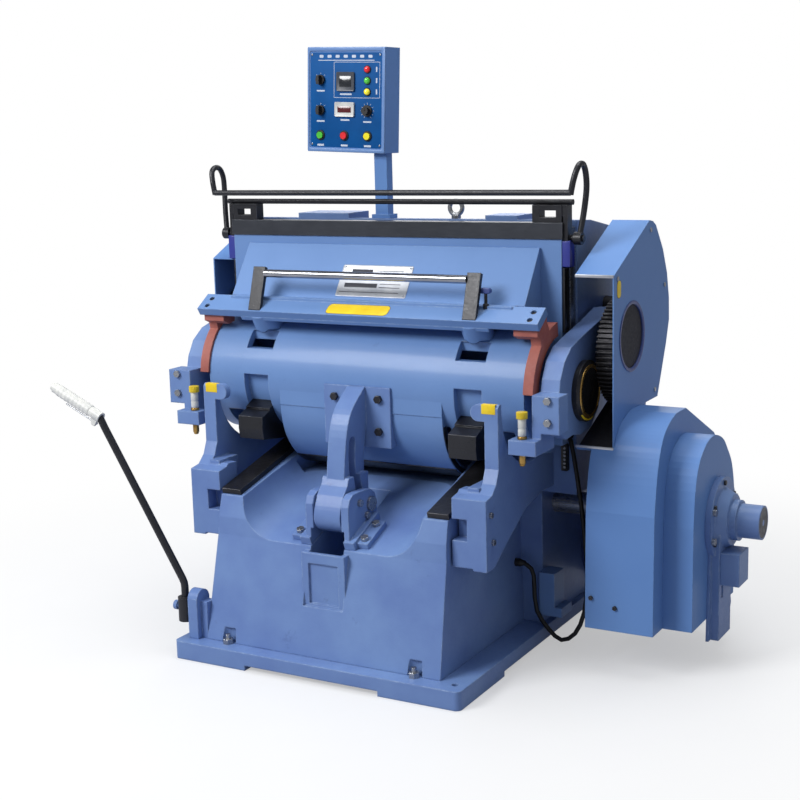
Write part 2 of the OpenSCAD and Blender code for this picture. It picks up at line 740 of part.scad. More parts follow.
module barrel() color(paint) site() difference() {
    intersection() {
        union() {
            difference() {
                belly(0);
                xcyl(-barrel_length / 2 + 46, barrel_length / 2 - 46, shaft_c, barrel_top_r - barrel_wall);
                xcyl(-barrel_length / 2 + 46, barrel_length / 2 - 46, belly_c, barrel_r - barrel_wall);
                block([-barrel_length / 2 + 46, belly_c[0] - barrel_r + barrel_wall + 6, belly_c[1]],
                    [barrel_length / 2 - 46, plate_y + 20, shaft_c[1]]);
            }
            both() block([rock_in - 30, shaft_c[0] - 190, 640], [rock_out + 30, plate_y, 900]);
        }
        block([-barrel_length / 2, 200, 400], [barrel_length / 2, plate_y, 1100]);
        union() {
            block([-290, 200, 400], [290, 700, 1100]);
            xcyl(-700, 700, shaft_c, barrel_top_r);
        }
        belly(0);
    }
    xcyl(-700, 700, shaft_c, shaft_r + run_gap);
    rocker_space(0);
    both() block([326, 330, 940], [426, shaft_c[0] - 122, 992]);
}

// a sector rolling on the rail, with a straight toe in front that never reaches the rail
module rocker_shoes() color(black) site() both() {
    difference() {
        xsector(rock_in, rock_out, shaft_c, rocker_r - rocker_depth, rocker_r - roll_gap, rock_a1, rock_a0);
        block([0, plate_back, 0], [600, 900, 900]);
    }
    xprism(rock_in, rock_out, concat(
        [toe_p - 1.5 * [cos(toe_a), sin(toe_a)], toe_p + toe_length * toe_t, [290, 690], [292, 730], [346, 750]],
        arc(shaft_c, barrel_top_r + 2, rock_a1, toe_a, 16)));
}

module back_panel() color(paint) site() difference() {
    xprism(-523, 523, [[plate_y, 1262], [538, 1262], [428, 1103], [430, 1040], [plate_y, 1040]]);
    belly(0);
    xprism(-503, 503, [[plate_y + 1, 1240], [540, 1240], [452, 1108], [452, 1062], [plate_y + 1, 1062]]);
}

module on_beam() translate([0, beam_front[0], beam_front[1]]) rotate([beam_ang, 0, 0]) children();

module cross_beam() color(paint) site() difference() {
    union() {
        on_beam() {
            block([-beam_width / 2, 0, -beam_thick], [beam_width / 2, beam_len, 0]);
            block([-440, -1, -beam_thick - 12], [440, 26, -beam_thick + 1]);
            for (s = [-1, 1])
                zcyl(-110, -beam_thick + 1, s * 376, 40, 46);
        }
        block([-500, beam_back[0] - 14, 1082], [500, 430, 1103]);
    }
    belly(touch);
    xprism(-523, 523, [[plate_y, 1262], [538, 1262], [428, 1103], [430, 1040], [plate_y, 1040]]);
    for (s = [-1, 1])
        block([s * 376 - 50, 380, 900], [s * 376 + 50, 520, 1000]);
    on_beam() for (s = [-1, 1], y = [18, 52])
        zcyl(-14, 1, s * (beam_width / 2 - 30), y, 9);
}

module beam_supports() color([0.6, 0.3, 0.24]) site() both() difference() {
    union() {
        xsector(barrel_length / 2, barrel_length / 2 + 32, shaft_c, barrel_top_r - 34, barrel_top_r + 8, 96, 176);
        xprism(barrel_length / 2 - 44, barrel_length / 2 + 32, [[362, 1080], [362, 1022], [392, 1010], [424, 1016],
            [424, 1103], [398, 1103]]);
        xprism(barrel_length / 2, barrel_length / 2 + 32, [[380, 1030], [400, 950], [470, 1000], [430, 1060],
            [424, 1090], [398, 1100]]);
    }
    xcyl(0, barrel_length / 2, shaft_c, barrel_top_r);
    on_beam() block([-700, -40, -beam_thick], [700, 160, 100]);
    block([0, beam_back[0] - 14, 1082], [500, 430, 1103]);
}

module rod_brackets() color(black) site() both() difference() {
    xprism(359, 403, [[340, 1060], [356, 1070], [398, 1196], [384, 1201]]);
    on_beam() block([-700, -40, -90], [700, 90, 0]);
}

module cross_rod() color([0.8, 0.81, 0.83]) site() xcyl(-359, 359, [383, 1180], cross_rod_r);

// rounded front and back of the arm's foot
foot_front = smooth([[154, 541], [135, 500], [131, 466], [146, 440], [175, 424]], 4);
foot_back = smooth([[240, 424], [284, 438], [303, 476], [303, 516]], 4);
arm_pts = concat([[338, 850]], smooth([[320, 845], [246, 790], [213, 730], [194, 640], [186, 573]], 4),
    foot_front, foot_back, smooth([[306, 641], [326, 726], [345, 760]], 4), [[420, 780], [420, 850]]);
slot_angle = 43;
slot_pts = [for (i = [0 : 20]) pin_path(-1.5 + slot_angle * i / 20)];

foot_pts = concat([[190, 590], [178, 566]], foot_front, foot_back, [[303, 590]]);

module guide_arm() color(paint) site() difference() {
    union() {
        xprism(-arm_thick / 2, arm_thick / 2, arm_pts);
        xprism(-foot_thick / 2, foot_thick / 2, foot_pts);
        block([-118, 326, 660], [118, 420, 848]);
    }
    belly(0);
    xprism(-60, 60, ribbon(slot_pts, guide_pin_r + guide_gap));
    xcyl(-60, 60, slot_pts[0], guide_pin_r + guide_gap);
    xcyl(-60, 60, slot_pts[20], guide_pin_r + guide_gap);
}

module hex(r, h) linear_extrude(h) polygon([for (i = [0 : 5]) r * [cos(60 * i), sin(60 * i)]]);

module platen_bolts() color(steel) site() {
    for (x = [-78, 78], z = [711, 812])
        translate([x, 326, z]) rotate([90, 0, 0]) hex(13, 12);
    on_beam() for (s = [-1, 1], y = [18, 52])
        zcyl(-14, -5, s * (beam_width / 2 - 30), y, 7.5);
}

// ---- shaft in the barrel, drawbars ----
module barrel_shaft() color(steel) site() xcyl(-bar_out - 4, bar_out + 12, shaft_c, shaft_r);

bar_pts = [[347, 856], [359, 902], [389, 950], [440, 985], [523, 1006], [656, 1034], [760, 1062]];
bar_low = [[776, 860], [700, 812], [591, 722], [512, 712], [450, 724], [400, 720]];
bar_window = [[618, 790], [650, 930], [690, 1004], [760, 1034], [850, 1050], [850, 880], [776, 812], [660, 776]];
flange_out = 690;
oiler_p = [581, 272];

module drawbar() difference() {
    union() {
        difference() {
            xprism(bar_in, bar_out, concat([[352, 745]], bar_pts, arc(eye_c, eye_r, 112, -104, 24), bar_low));
            difference() {
                xprism(bar_out - 32, bar_out + 1, bar_window);
                xcyl(600, 700, shaft_c, cap_r + 12);
                xcyl(600, 700, eye_c, 66);
            }
        }
        block([bar_in, 286, 697], [bar_in + 28, 380, 866]);
        block([bar_in, 286, 756], [flange_out, 352, 866]);
        block([549, 246, 697], [bar_in + 28, 300, 740]);
    }
    xcyl(600, 700, shaft_c, shaft_r + run_gap);
    xcyl(600, 700, eye_c, 31);
    xcyl(bar_out - 8, bar_out + 1, eye_c, 50);
    for (z = [790, 853])
        ycyl(280, 300, 655, z, 9);
    zcyl(600, 800, oiler_p[0], oiler_p[1], 8);
}

module drawbar_right() color(paint) site() drawbar();

module drawbar_left() color(paint) site() mirror([1, 0, 0]) drawbar();

module bearing_cap(deep) difference() {
    union() {
        xcyl(bar_out, bar_out + deep, shaft_c, cap_r);
        xcone(bar_out + deep - 0.1, bar_out + deep * 1.35, shaft_c, cap_r - 2, cap_r - 10);
    }
    xcyl(bar_out - 1, bar_out + deep * 0.8, shaft_c, shaft_r + touch);
}

module bearing_caps() color(black) site() {
    bearing_cap(16);
    mirror([1, 0, 0]) bearing_cap(6);
}

module oilers() color(brass) site() both() translate([oiler_p[0], oiler_p[1], 0]) {
    zcyl(660, 740, 0, 0, 8);
    translate([0, 0, 740]) hex(14, 8);
    zcyl(747.9, 800, 0, 0, 12);
    zcyl(799.9, 820, 0, 0, 17);
    zcyl(666, 697, 0, 0, 10);
}

module drawbar_bolts() color(steel) site() both() for (z = [790, 853])
    union() {
        ycyl(285, 299, 655, z, 8.98);
        translate([655, 286, z]) rotate([90, 0, 0]) hex(12, 9);
    }

// ---- gear train ----
bull_phase = 0;
pin_phase = mesh_phase(bull_phase, bull_teeth, bull_pinion_teeth, line_ang(crank_c, pinion_c));
mid_phase = 0;
kpin_phase = mesh_phase(mid_phase, mid_teeth, mid_pinion_teeth, line_ang(pinion_c, counter_c));
low_phase = 0;
fpin_phase = mesh_phase(low_phase, low_teeth, fly_pinion_teeth, line_ang(counter_c, fly_c));

module bull_gear_right() color(steel) site() union() {
    xgear(gear_in + gear_face / 2, crank_c, bull_teeth, gear_face, 40 + run_gap, 10, bull_phase);
    xcyl(bar_out + 3, gear_in + 11, eye_c, 30);
}

module bull_gear_left() color(steel) site() mirror([1, 0, 0]) union() {
    xgear(bar_out + 11 + left_face / 2, crank_c, bull_teeth, left_face, 34 + run_gap, 0, bull_phase);
    xcyl(bar_out + 3, bar_out + 12, eye_c, 28);
}

module pinion_shaft() color(steel) site() union() {
    xcyl(-left_x + 6.5, gear_in + gear_face + 6, pinion_c, 30);
    xgear(gear_in + gear_face / 2, pinion_c, bull_pinion_teeth, gear_face - 2, 0, 0, pin_phase);
    xgear(-bar_out - 11 - left_face / 2, pinion_c, bull_pinion_teeth, left_face - 2, 0, 0, pin_phase);
    xgear(200, pinion_c, mid_teeth, 60, 0, 16, mid_phase);
}

module counter_shaft() color(steel) site() union() {
    xcyl(-594, 594, counter_c, 34);
    xgear(200, counter_c, mid_pinion_teeth, 58, 0, 0, kpin_phase);
    xgear(300, counter_c, low_teeth, 54, 0, 14, low_phase);
}

module flywheel_shaft() color(steel) site() union() {
    xcyl(-478, 1084, fly_c, 36);
    xgear(300, fly_c, fly_pinion_teeth, 56, 0, 0, fpin_phase);
}

module flywheel() color(paint_deep) site() difference() {
    union() {
        xcyl(740, 740 + flywheel_face, fly_c, flywheel_r);
        xcyl(740 + flywheel_face - 1, 906, fly_c, 236);
    }
    for (x = [739, 740 + flywheel_face - 44])
        difference() {
            xcyl(x, x + 45, fly_c, flywheel_r - 56);
            xcyl(x - 1, x + 46, fly_c, 90);
            if (x > 740)
                xcyl(x - 1, x + 80, fly_c, 236);
        }
    for (x = [872, 886, 900])
        difference() {
            xcyl(x - 4, x + 4, fly_c, 300);
            xcyl(x - 5, x + 5, fly_c, 226);
        }
    xcyl(700, 950, fly_c, 36.02);
}

module motor_pulley() color(steel) site() difference() {
    union() {
        xcyl(610, 908, motor_c, 19);
        xcyl(864, 907, motor_c, 54);
    }
    for (x = [872, 886, 900])
        difference() {
            xcyl(x - 4, x + 4, motor_c, 90);
            xcyl(x - 5, x + 5, motor_c, 45);
        }
}

// ---- guard on the platen's top edge ----
guard_y = 510;
guard_z = 1427;
guard_pivot = [572, 1290];
guard_x = 634;

module guard_mounts() color(black) site() {
    both() difference() {
        union() {
            block([496, plate_y, plate_top + strip_height], [590, plate_back, plate_top + strip_height + 52]);
            block([plate_width / 2 + 4, plate_y + 4, 1256], [plate_width / 2 + 18, plate_back - 2, plate_top + strip_height + 52]);
            block([580, plate_y + 4, plate_top + strip_height + 20], [plate_width / 2 + 18, plate_back - 2, plate_top + strip_height + 52]);
            xcyl(plate_width / 2 + 4, plate_width / 2 + 18, guard_pivot, 16);
            xcyl(plate_width / 2 + 17, guard_x + 18, guard_pivot, 10);
        }
        block([520, plate_y - 1, plate_top + strip_height + 16], [572, plate_back + 1, plate_top + strip_height + 36]);
    }
    xcyl(-guard_x + 14, guard_x - 14, [plate_back - 20, plate_top + strip_height + 60], 8.5);
}

loop_out = 652;
loop_pts = [[guard_x + 4, guard_pivot[0], guard_pivot[1] + 14], [guard_x + 12, 580, 1360], [loop_out, 588, 1430],
    [loop_out, 584, 1476], [loop_out, 566, 1504], [loop_out, 540, 1508], [loop_out - 2, 520, 1494],
    [guard_x + 8, 511, 1460], [guard_x, guard_y, guard_z - 6]];

module rod3(a, b, r) let (d = b - a, l = norm(d))
    translate(a) rotate([0, acos(d[2] / l), atan2(d[1], d[0])]) cylinder(h = l, r = r);

module guard_frame() color(black) site() {
    xcyl(-guard_x, guard_x, [guard_y, guard_z], guard_r);
    both() {
        tube(smooth(loop_pts, 4), guard_r, 16);
        difference() {
            xcyl(guard_x - 12, guard_x + 12, guard_pivot, 19);
            xcyl(guard_x - 13, guard_x + 13, guard_pivot, 10 + run_gap);
        }
    }
}

// ---- hand lever ----
lever_pivot = [66, 150];
lever_x = -500;
lever_lean = 31;
lever_bend_z = 228;
lever_p1 = [lever_x - lever_length * sin(lever_lean), lever_pivot[0], lever_bend_z + lever_length * cos(lever_lean)];
lever_p2 = lever_p1 + [-17, 0, 32];
grip_dir = [-0.908, 0, 0.419];
grip_nrm = [-0.419, 0, -0.908];
grip_start = lever_p2 + [6, 0, -3];
grip_end = grip_start + 205 * grip_dir;

module lever_bracket() color(paint) site() difference() {
    union() {
        block([-472, 40, plinth_height], [-436, 106, 186]);
        block([-437, 60, plinth_height], [-396, 100, 176]);
        xcyl(lever_x - 34, -471, lever_pivot, 10);
        xcyl(lever_x - 40, lever_x - 27, lever_pivot, 15);
        xprism(-472, -436, concat([[40, 180], [106, 180]], arc([73, 180], 33, 0, 180, 12)));
    }
    base_sides(0);
    block([-500, -10, 57], [-300, 39, 100]);
}

lever_dir = [-sin(lever_lean), 0, cos(lever_lean)];
lever_bend = [lever_x, lever_pivot[0], lever_bend_z];
lever_pts = [lever_bend - [0, 0, 52], lever_bend - [0, 0, 14], lever_bend - [1.8, 0, 0.5], lever_bend + 14 * lever_dir,
    lever_p1 - 12 * lever_dir, lever_p1, lever_p2];

module hand_lever() color(black) site() difference() {
    union() {
        zcyl(104, 182, lever_x, lever_pivot[0], 24);
        tube(lever_pts, lever_r, 20);
    }
    xcyl(lever_x - 60, lever_x + 60, lever_pivot, 10 + run_gap);
    block([lever_x - 60, 0, 90], [lever_x - 26.4, 130, 220]);
}

trigger_p = grip_start + 20 * grip_dir + 32 * grip_nrm;

module lever_grip() color([0.88, 0.88, 0.86]) site() {
    rod3(grip_start, grip_end, 17);
    rod3(grip_end - 0.1 * grip_dir, grip_end + 9 * grip_dir, 13);
    yprism(lever_pivot[0] - 5, lever_pivot[0] + 3, [for (v = [[8, 10], [36, 10], [27, 38], [13, 38]])
        let (p = grip_start + v[0] * grip_dir + v[1] * grip_nrm) [p[0], p[2]]]);
    ycyl(lever_pivot[0] + 2.9, lever_pivot[0] + 12, trigger_p[0], trigger_p[2], 3);
}

module lever_trigger() color(steel) site() {
    difference() {
        ycyl(lever_pivot[0] + 5, lever_pivot[0] + 11, trigger_p[0], trigger_p[2], 7);
        ycyl(lever_pivot[0] + 4, lever_pivot[0] + 12, trigger_p[0], trigger_p[2], 3.05);
    }
    rod3(trigger_p + [0, 8, 0] + 6 * grip_dir, trigger_p + [0, 8, 0] + 130 * grip_dir, 2.6);
}

// ---- loose fixings of the fixed body ----
module eye_bolt(x, y, z) translate([x, y, z]) {
    zcyl(0, 10, 0, 0, 15);
    translate([0, 0, 34]) rotate([90, 0, 0]) rotate_extrude() translate([22, 0]) circle(7, $fn = 32);
    zcyl(9, 14, 0, 0, 8);
}

module fixed_bolts() color(steel) site() {
    for (s = [-1, 1])
        translate([s * foot_bolt_x, foot_bolt_y, plinth_height]) {
            hex(17, 16);
            zcyl(15.9, 30, 0, 0, 8);
        }
    both() on_floor() for (y = clevis_bolts) translate([lug_out + 38, y, 18])
        hex(13, 11);
    both() for (p = [[196, 516], [236, 470]])
        xcyl(lug_out, lug_out + 9, p, 11);
    both() for (p = [[182, 530], [196, 446]])
        xcyl(520, 527, p, 9);
    for (p = cover_screws)
        xcyl(cover_x, cover_x + 3, p, 7);
    eye_bolt(178, body_y + 22, body_top);
    for (p = [[-104, 44], [-112, -44], [104, 44], [112, -44]])
        xcyl(fly_out + 20, fly_out + 30, fly_c + p, 11);
}

plinth();
base_casting();
rocker_rails();
main_body();
bed_plate();
die_chase();
guide_bracket_left();
guide_bracket_right();
clevises();
guide_pin();
gear_cover_right();
gear_cover_left();
flywheel_cover();
clutch_cover();
outboard_bearing();
brush_box();
control_post();
control_box();
lamps();
motor();
lever_bracket();
fixed_bolts();
cable();
cable_gland();
junction_box();
platen_plate();
platen_strip();
back_panel();
barrel();
cross_beam();
beam_supports();
rod_brackets();
cross_rod();
rocker_shoes();
guide_arm();
platen_bolts();
guard_mounts();
barrel_shaft();
drawbar_left();
drawbar_right();
bearing_caps();
drawbar_bolts();
oilers();
hand_lever();
lever_grip();
lever_trigger();
guard_frame();
bull_gear_right();
bull_gear_left();
pinion_shaft();
counter_shaft();
flywheel_shaft();
flywheel();
motor_pulley();
selector_upper();
selector_lower();
rotary_knob();
button_green();
button_red();
button_yellow();
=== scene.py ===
"""Looks of the platen press for die cutting and creasing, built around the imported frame.

All objects are in metres in the row frame. Sizes that repeat the drawing are given in
millimetres with Y counted from the plinth's front face, and at() turns them into metres.
"""

import logging
import math
from dataclasses import dataclass, field
from enum import Enum
from typing import Callable, Iterable, Sequence

import bpy
from mathutils import Matrix, Vector


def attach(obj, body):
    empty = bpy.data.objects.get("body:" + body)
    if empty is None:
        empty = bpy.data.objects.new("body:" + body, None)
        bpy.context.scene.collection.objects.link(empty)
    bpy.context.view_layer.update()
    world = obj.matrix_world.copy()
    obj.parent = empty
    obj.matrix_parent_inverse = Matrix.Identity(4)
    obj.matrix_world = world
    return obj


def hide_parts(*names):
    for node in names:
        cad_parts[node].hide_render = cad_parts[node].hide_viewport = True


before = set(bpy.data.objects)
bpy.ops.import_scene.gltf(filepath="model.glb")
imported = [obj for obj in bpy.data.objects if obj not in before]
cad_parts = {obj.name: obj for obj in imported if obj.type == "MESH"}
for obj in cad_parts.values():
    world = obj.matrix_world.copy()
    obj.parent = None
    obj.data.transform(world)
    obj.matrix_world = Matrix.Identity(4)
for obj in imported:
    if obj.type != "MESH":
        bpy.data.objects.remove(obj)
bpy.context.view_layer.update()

LOG = logging.getLogger("press")
PLINTH_HALF_DEPTH = 650.0
MILLI = 0.001
MERGE_GAP = 1e-6
SPIN_MERGE_GAP = 1e-5
FACE_MATCH = 0.98
SHARP_ANGLE = 30.0
TURNED_ANGLE = 35.0
THIN_SHARE = 0.3
HEAD_STEPS = 20
FULL_COLOUR = 255
WHITE = (1.0, 1.0, 1.0, 1.0)

Colour = tuple[float, float, float]
Tint = tuple[float, float, float, float]
Point = tuple[float, float, float]
Flat = tuple[float, float]
Profile = tuple[Flat, ...]
Piece = bpy.types.Object
Socket = bpy.types.NodeSocket


class Body(str, Enum):
    """The moving bodies that the new pieces ride on."""

    FRAME = "frame"
    PLATEN = "platen"
    DRAWBARS = "drawbars"
    LEVER = "lever"


class Axis(Enum):
    """A direction along which a piece is extruded or turned."""

    X = 0
    Y = 1
    Z = 2

    def place(self, along: float, first: float = 0.0, second: float = 0.0) -> Vector:
        """Sets a length along this axis between the two lengths across it.

        Args:
            along: The length along the axis.
            first: The length along the first of the other two axes.
            second: The length along the second of them.

        Returns:
            The point.
        """
        parts = [first, second]
        parts.insert(self.value, along)
        return Vector(parts)


def row_y(y: float) -> float:
    """Turns millimetres behind the plinth's front into millimetres of the row frame."""
    return y - PLINTH_HALF_DEPTH


def at(x: float, y: float, z: float) -> Vector:
    """Turns a point of the drawing, in millimetres, into metres of the row frame."""
    return Vector((x, row_y(y), z)) * MILLI


def linear(colour: Colour) -> Tint:
    """Turns a display colour from 0 to 255 into a linear one.

    Args:
        colour: Red, green and blue from 0 to 255.

    Returns:
        Linear red, green, blue and a full alpha.
    """
    parts = [c / FULL_COLOUR for c in colour]
    bent = [c / 12.92 if c <= 0.04045 else ((c + 0.055) / 1.055) ** 2.4 for c in parts]
    return (bent[0], bent[1], bent[2], 1.0)


def stand(name: str, data: bpy.types.ID) -> Piece:
    """Puts a camera, light or curve into the scene as an object.

    Args:
        name: The object's name.
        data: What it holds.

    Returns:
        The new object.
    """
    obj = bpy.data.objects.new(name, data)
    bpy.context.scene.collection.objects.link(obj)
    return obj


# ---- finishes ----


@dataclass(frozen=True)
class Noise:
    """A noise pattern, and the two of its values that are stretched to 0 and 1."""

    detail: float
    roughness: float
    low: float = 0.0
    high: float = 1.0


PATCHES = Noise(4.0, 0.55, 0.3, 0.7)
GRAIN = Noise(3.0, 0.6, 0.25, 0.75)
# Breaks up the lighter edges, which are partly worn paint and partly a painted highlight.
EDGE_BREAKUP = Noise(6.0, 0.7, 0.42, 0.62)
STAINS = Noise(8.0, 0.75, 0.62, 0.72)
CLOUDS = Noise(3.0, 0.5)
EDGE_BREAKUP_SCALE = 26.0
STAIN_SCALE = 14.0
# Where the lighter edges of worn paint and painted highlight begin, and where they are full.
EDGE_START_MATCH = 0.985
EDGE_FULL_MATCH = 0.9
BEVEL_SAMPLES = 4
SMOOTHEST = 0.02
COAT_ROUGHNESS = 0.12
BUMP_STRENGTH = 0.6
# A Mix node's colour sockets go by number, because its other kinds use the same names.
FIRST_COLOUR, SECOND_COLOUR, MIXED_COLOUR = 6, 7, 2


class Graph:
    """The node tree of a material or a world, with short ways to add to it."""

    def __init__(self, owner: bpy.types.ID) -> None:
        """Starts an empty tree.

        Args:
            owner: The material or world that holds the tree.
        """
        owner.use_nodes = True
        self.owner = owner
        self.tree = owner.node_tree
        self.tree.nodes.clear()

    def add(self, kind: str, sockets: dict | None = None, **settings: object) -> bpy.types.Node:
        """Adds a node.

        Args:
            kind: The node's type name without its ShaderNode start.
            sockets: Input name or number to a value, or to another node's output.
            **settings: Properties of the node.

        Returns:
            The new node.
        """
        node = self.tree.nodes.new("ShaderNode" + kind)
        for key, value in settings.items():
            setattr(node, key, value)
        for key, value in (sockets or {}).items():
            if isinstance(value, Socket):
                self.tree.links.new(value, node.inputs[key])
            else:
                node.inputs[key].default_value = value
        return node

    def noise(self, kind: Noise, place: Socket, scale: float) -> Socket:
        """Adds a noise pattern of a given kind and scale."""
        sockets = {"Vector": place, "Scale": scale, "Detail": kind.detail, "Roughness": kind.roughness}
        return self.add("TexNoise", sockets).outputs["Fac"]

    def ramp(self, source: Socket, low: float, high: float, to: Flat = (0.0, 1.0)) -> Socket:
        """Stretches a value between two limits to another range.

        Args:
            source: The value.
            low: Where the range begins.
            high: Where it ends.
            to: The range of the result.

        Returns:
            The stretched value.
        """
        sockets = {"Value": source, "From Min": low, "From Max": high, "To Min": to[0], "To Max": to[1]}
        return self.add("MapRange", sockets, clamp=True).outputs["Result"]

    def math(self, operation: str, a: Socket, b: Socket | float) -> Socket:
        """Joins two values by one step of arithmetic."""
        return self.add("Math", {0: a, 1: b}, operation=operation).outputs["Value"]

    def blend(self, share: Socket, a: object, b: object) -> Socket:
        """Mixes two colours: the first where the share is 0, the second where it is 1."""
        sockets = {"Factor": share, FIRST_COLOUR: a, SECOND_COLOUR: b}
        return self.add("Mix", sockets, data_type="RGBA").outputs[MIXED_COLOUR]


@dataclass(frozen=True)
class Finish:
    """A procedural surface on object coordinates: patches, grain, lighter edges of worn paint and painted
    highlight, and specks.

    Colours are display colours from 0 to 255. Lengths are in metres.
    """

    name: str
    colour: Colour
    shade: Colour
    roughness: float = 0.4
    spread: float = 0.1
    metallic: float = 0.0
    coat: float = 0.0
    specular: float = 0.5
    patch_scale: float = 3.0
    grain_scale: float = 260.0
    grain_depth: float = 0.0002
    stretch: Point = (1.0, 1.0, 1.0)
    edge_radius: float = 0.0
    # Colour of the lighter edges: partly worn paint, partly a painted highlight.
    edge_wear_and_highlight: Colour | None = None
    speck_colour: Colour | None = None
    speck_share: float = 0.3
    made: dict = field(default_factory=dict, init=False, compare=False, repr=False)

    def material(self) -> bpy.types.Material:
        """Builds the material at the first call.

        Returns:
            The same material at each call.
        """
        if "material" not in self.made:
            self.made["material"] = self._build()
        return self.made["material"]

    def _build(self) -> bpy.types.Material:
        """Lays out the nodes of the finish.

        Returns:
            The new material.
        """
        graph = Graph(bpy.data.materials.new(self.name))
        place = graph.add("TexCoord").outputs["Object"]
        drawn = graph.add("Mapping", {"Vector": place, "Scale": self.stretch}).outputs["Vector"]
        patch = graph.noise(PATCHES, place, self.patch_scale)
        grain = graph.noise(GRAIN, drawn, self.grain_scale)
        soft = graph.ramp(patch, PATCHES.low, PATCHES.high)
        colour = graph.blend(soft, linear(self.shade), linear(self.colour))
        limits = (max(SMOOTHEST, self.roughness - self.spread), min(1.0, self.roughness + self.spread))
        relief = {"Height": grain, "Strength": BUMP_STRENGTH, "Distance": self.grain_depth}
        if self.edge_radius:
            relief["Normal"] = graph.add(
                "Bevel", {"Radius": self.edge_radius}, samples=BEVEL_SAMPLES).outputs["Normal"]
            # Lighter edges: partly worn paint, partly a painted highlight.
            colour = self._wear_and_highlight_edges(graph, colour, relief["Normal"], place)
        if self.speck_colour:
            stains = graph.ramp(graph.noise(STAINS, place, STAIN_SCALE), STAINS.low, STAINS.high)
            share = graph.math("MULTIPLY", stains, self.speck_share)
            colour = graph.blend(share, colour, linear(self.speck_colour))
        shader = graph.add("BsdfPrincipled", {
            "Base Color": colour,
            "Roughness": graph.ramp(grain, GRAIN.low, GRAIN.high, limits),
            "Metallic": self.metallic,
            "Coat Weight": self.coat,
            "Coat Roughness": COAT_ROUGHNESS,
            "Specular IOR Level": self.specular,
            "Normal": graph.add("Bump", relief).outputs["Normal"],
        })
        graph.add("OutputMaterial", {"Surface": shader.outputs["BSDF"]})
        return graph.owner

    def _wear_and_highlight_edges(self, graph: Graph, colour: Socket, normal: Socket, place: Socket) -> Socket:
        """Lightens the finish along its edges, where the rounded and the true normal differ, as partly worn
        paint and partly a painted highlight.

        Args:
            graph: The graph to add to.
            colour: The colour so far.
            normal: The rounded normal.
            place: Object coordinates.

        Returns:
            The colour with worn edges.
        """
        flat = graph.add("NewGeometry").outputs["Normal"]
        match = graph.add("VectorMath", {0: normal, 1: flat}, operation="DOT_PRODUCT").outputs["Value"]
        edge = graph.ramp(match, EDGE_START_MATCH, EDGE_FULL_MATCH)
        edge_patchiness = graph.ramp(graph.noise(EDGE_BREAKUP, place, EDGE_BREAKUP_SCALE), EDGE_BREAKUP.low, EDGE_BREAKUP.high)
        return graph.blend(graph.math("MULTIPLY", edge, edge_patchiness), colour, linear(self.edge_wear_and_highlight))


@dataclass(frozen=True)
class Cap(Finish):
    """Glossy plastic of a push button's cap."""

    roughness: float = 0.28
    spread: float = 0.06
    coat: float = 0.4
    patch_scale: float = 60.0
    grain_scale: float = 700.0
    grain_depth: float = 0.00005


@dataclass(frozen=True)
class Glow(Finish):
    """A coloured lens or window that shines faintly in its own colour."""

    roughness: float = 0.2
    spread: float = 0.04
    coat: float = 0.6
    grain_scale: float = 500.0
    grain_depth: float = 0.00003
    strength: float = 0.25

    def _build(self) -> bpy.types.Material:
        """Adds an even glow to the plain finish.

        Returns:
            The new material.
        """
        material = super()._build()
        for node in material.node_tree.nodes:
            if node.type == "BSDF_PRINCIPLED":
                node.inputs["Emission Color"].default_value = linear(self.colour)
                node.inputs["Emission Strength"].default_value = self.strength
        return material


PAINT = Finish(
    "machine_paint", (110, 144, 196), (101, 135, 187), 0.4, 0.07, coat=0.12, specular=0.28,
    grain_scale=160.0, grain_depth=0.00035, edge_radius=0.004, edge_wear_and_highlight=(158, 182, 216),
    speck_colour=(74, 94, 144), speck_share=0.22)
CAST_PAINT = Finish(
    "cast_paint", (114, 143, 192), (96, 122, 178), 0.42, 0.09, coat=0.1, specular=0.28, patch_scale=4.5,
    grain_scale=110.0, grain_depth=0.0006, edge_radius=0.006, edge_wear_and_highlight=(154, 178, 214),
    speck_colour=(56, 62, 108))
SHEET_PAINT = Finish(
    "sheet_paint", (103, 142, 199), (95, 134, 193), 0.44, 0.05, coat=0.06, specular=0.2, patch_scale=2.0,
    grain_scale=190.0, grain_depth=0.00025, edge_radius=0.003, edge_wear_and_highlight=(140, 176, 224),
    speck_colour=(70, 100, 160), speck_share=0.15)
DEEP_PAINT = Finish(
    "deep_paint", (60, 78, 140), (46, 60, 118), 0.42, 0.1, coat=0.2, patch_scale=4.0, grain_scale=120.0,
    grain_depth=0.0005, edge_radius=0.004, edge_wear_and_highlight=(96, 124, 184), speck_colour=(30, 36, 60))
BLACK_STEEL = Finish(
    "black_steel", (38, 39, 45), (24, 25, 30), 0.36, 0.12, metallic=0.25, patch_scale=6.0,
    grain_scale=180.0, grain_depth=0.0003, edge_radius=0.003, edge_wear_and_highlight=(96, 98, 106))
OILED_IRON = Finish(
    "oiled_iron", (62, 62, 66), (40, 40, 44), 0.4, 0.14, metallic=0.7, patch_scale=9.0, grain_scale=90.0,
    grain_depth=0.0004, edge_radius=0.003, edge_wear_and_highlight=(130, 130, 134), speck_colour=(30, 24, 20),
    speck_share=0.5)
STRIP_STEEL = Finish(
    "strip_steel", (58, 61, 68), (44, 47, 54), 0.38, 0.1, metallic=0.35, patch_scale=5.0,
    grain_scale=220.0, stretch=(0.15, 1.0, 1.0), edge_radius=0.003, edge_wear_and_highlight=(128, 132, 140))
GROUND_STEEL = Finish(
    "ground_steel", (172, 174, 178), (142, 145, 150), 0.3, 0.12, metallic=0.92, patch_scale=6.0,
    grain_scale=240.0, stretch=(0.12, 1.0, 1.0), edge_radius=0.002, edge_wear_and_highlight=(205, 206, 210))
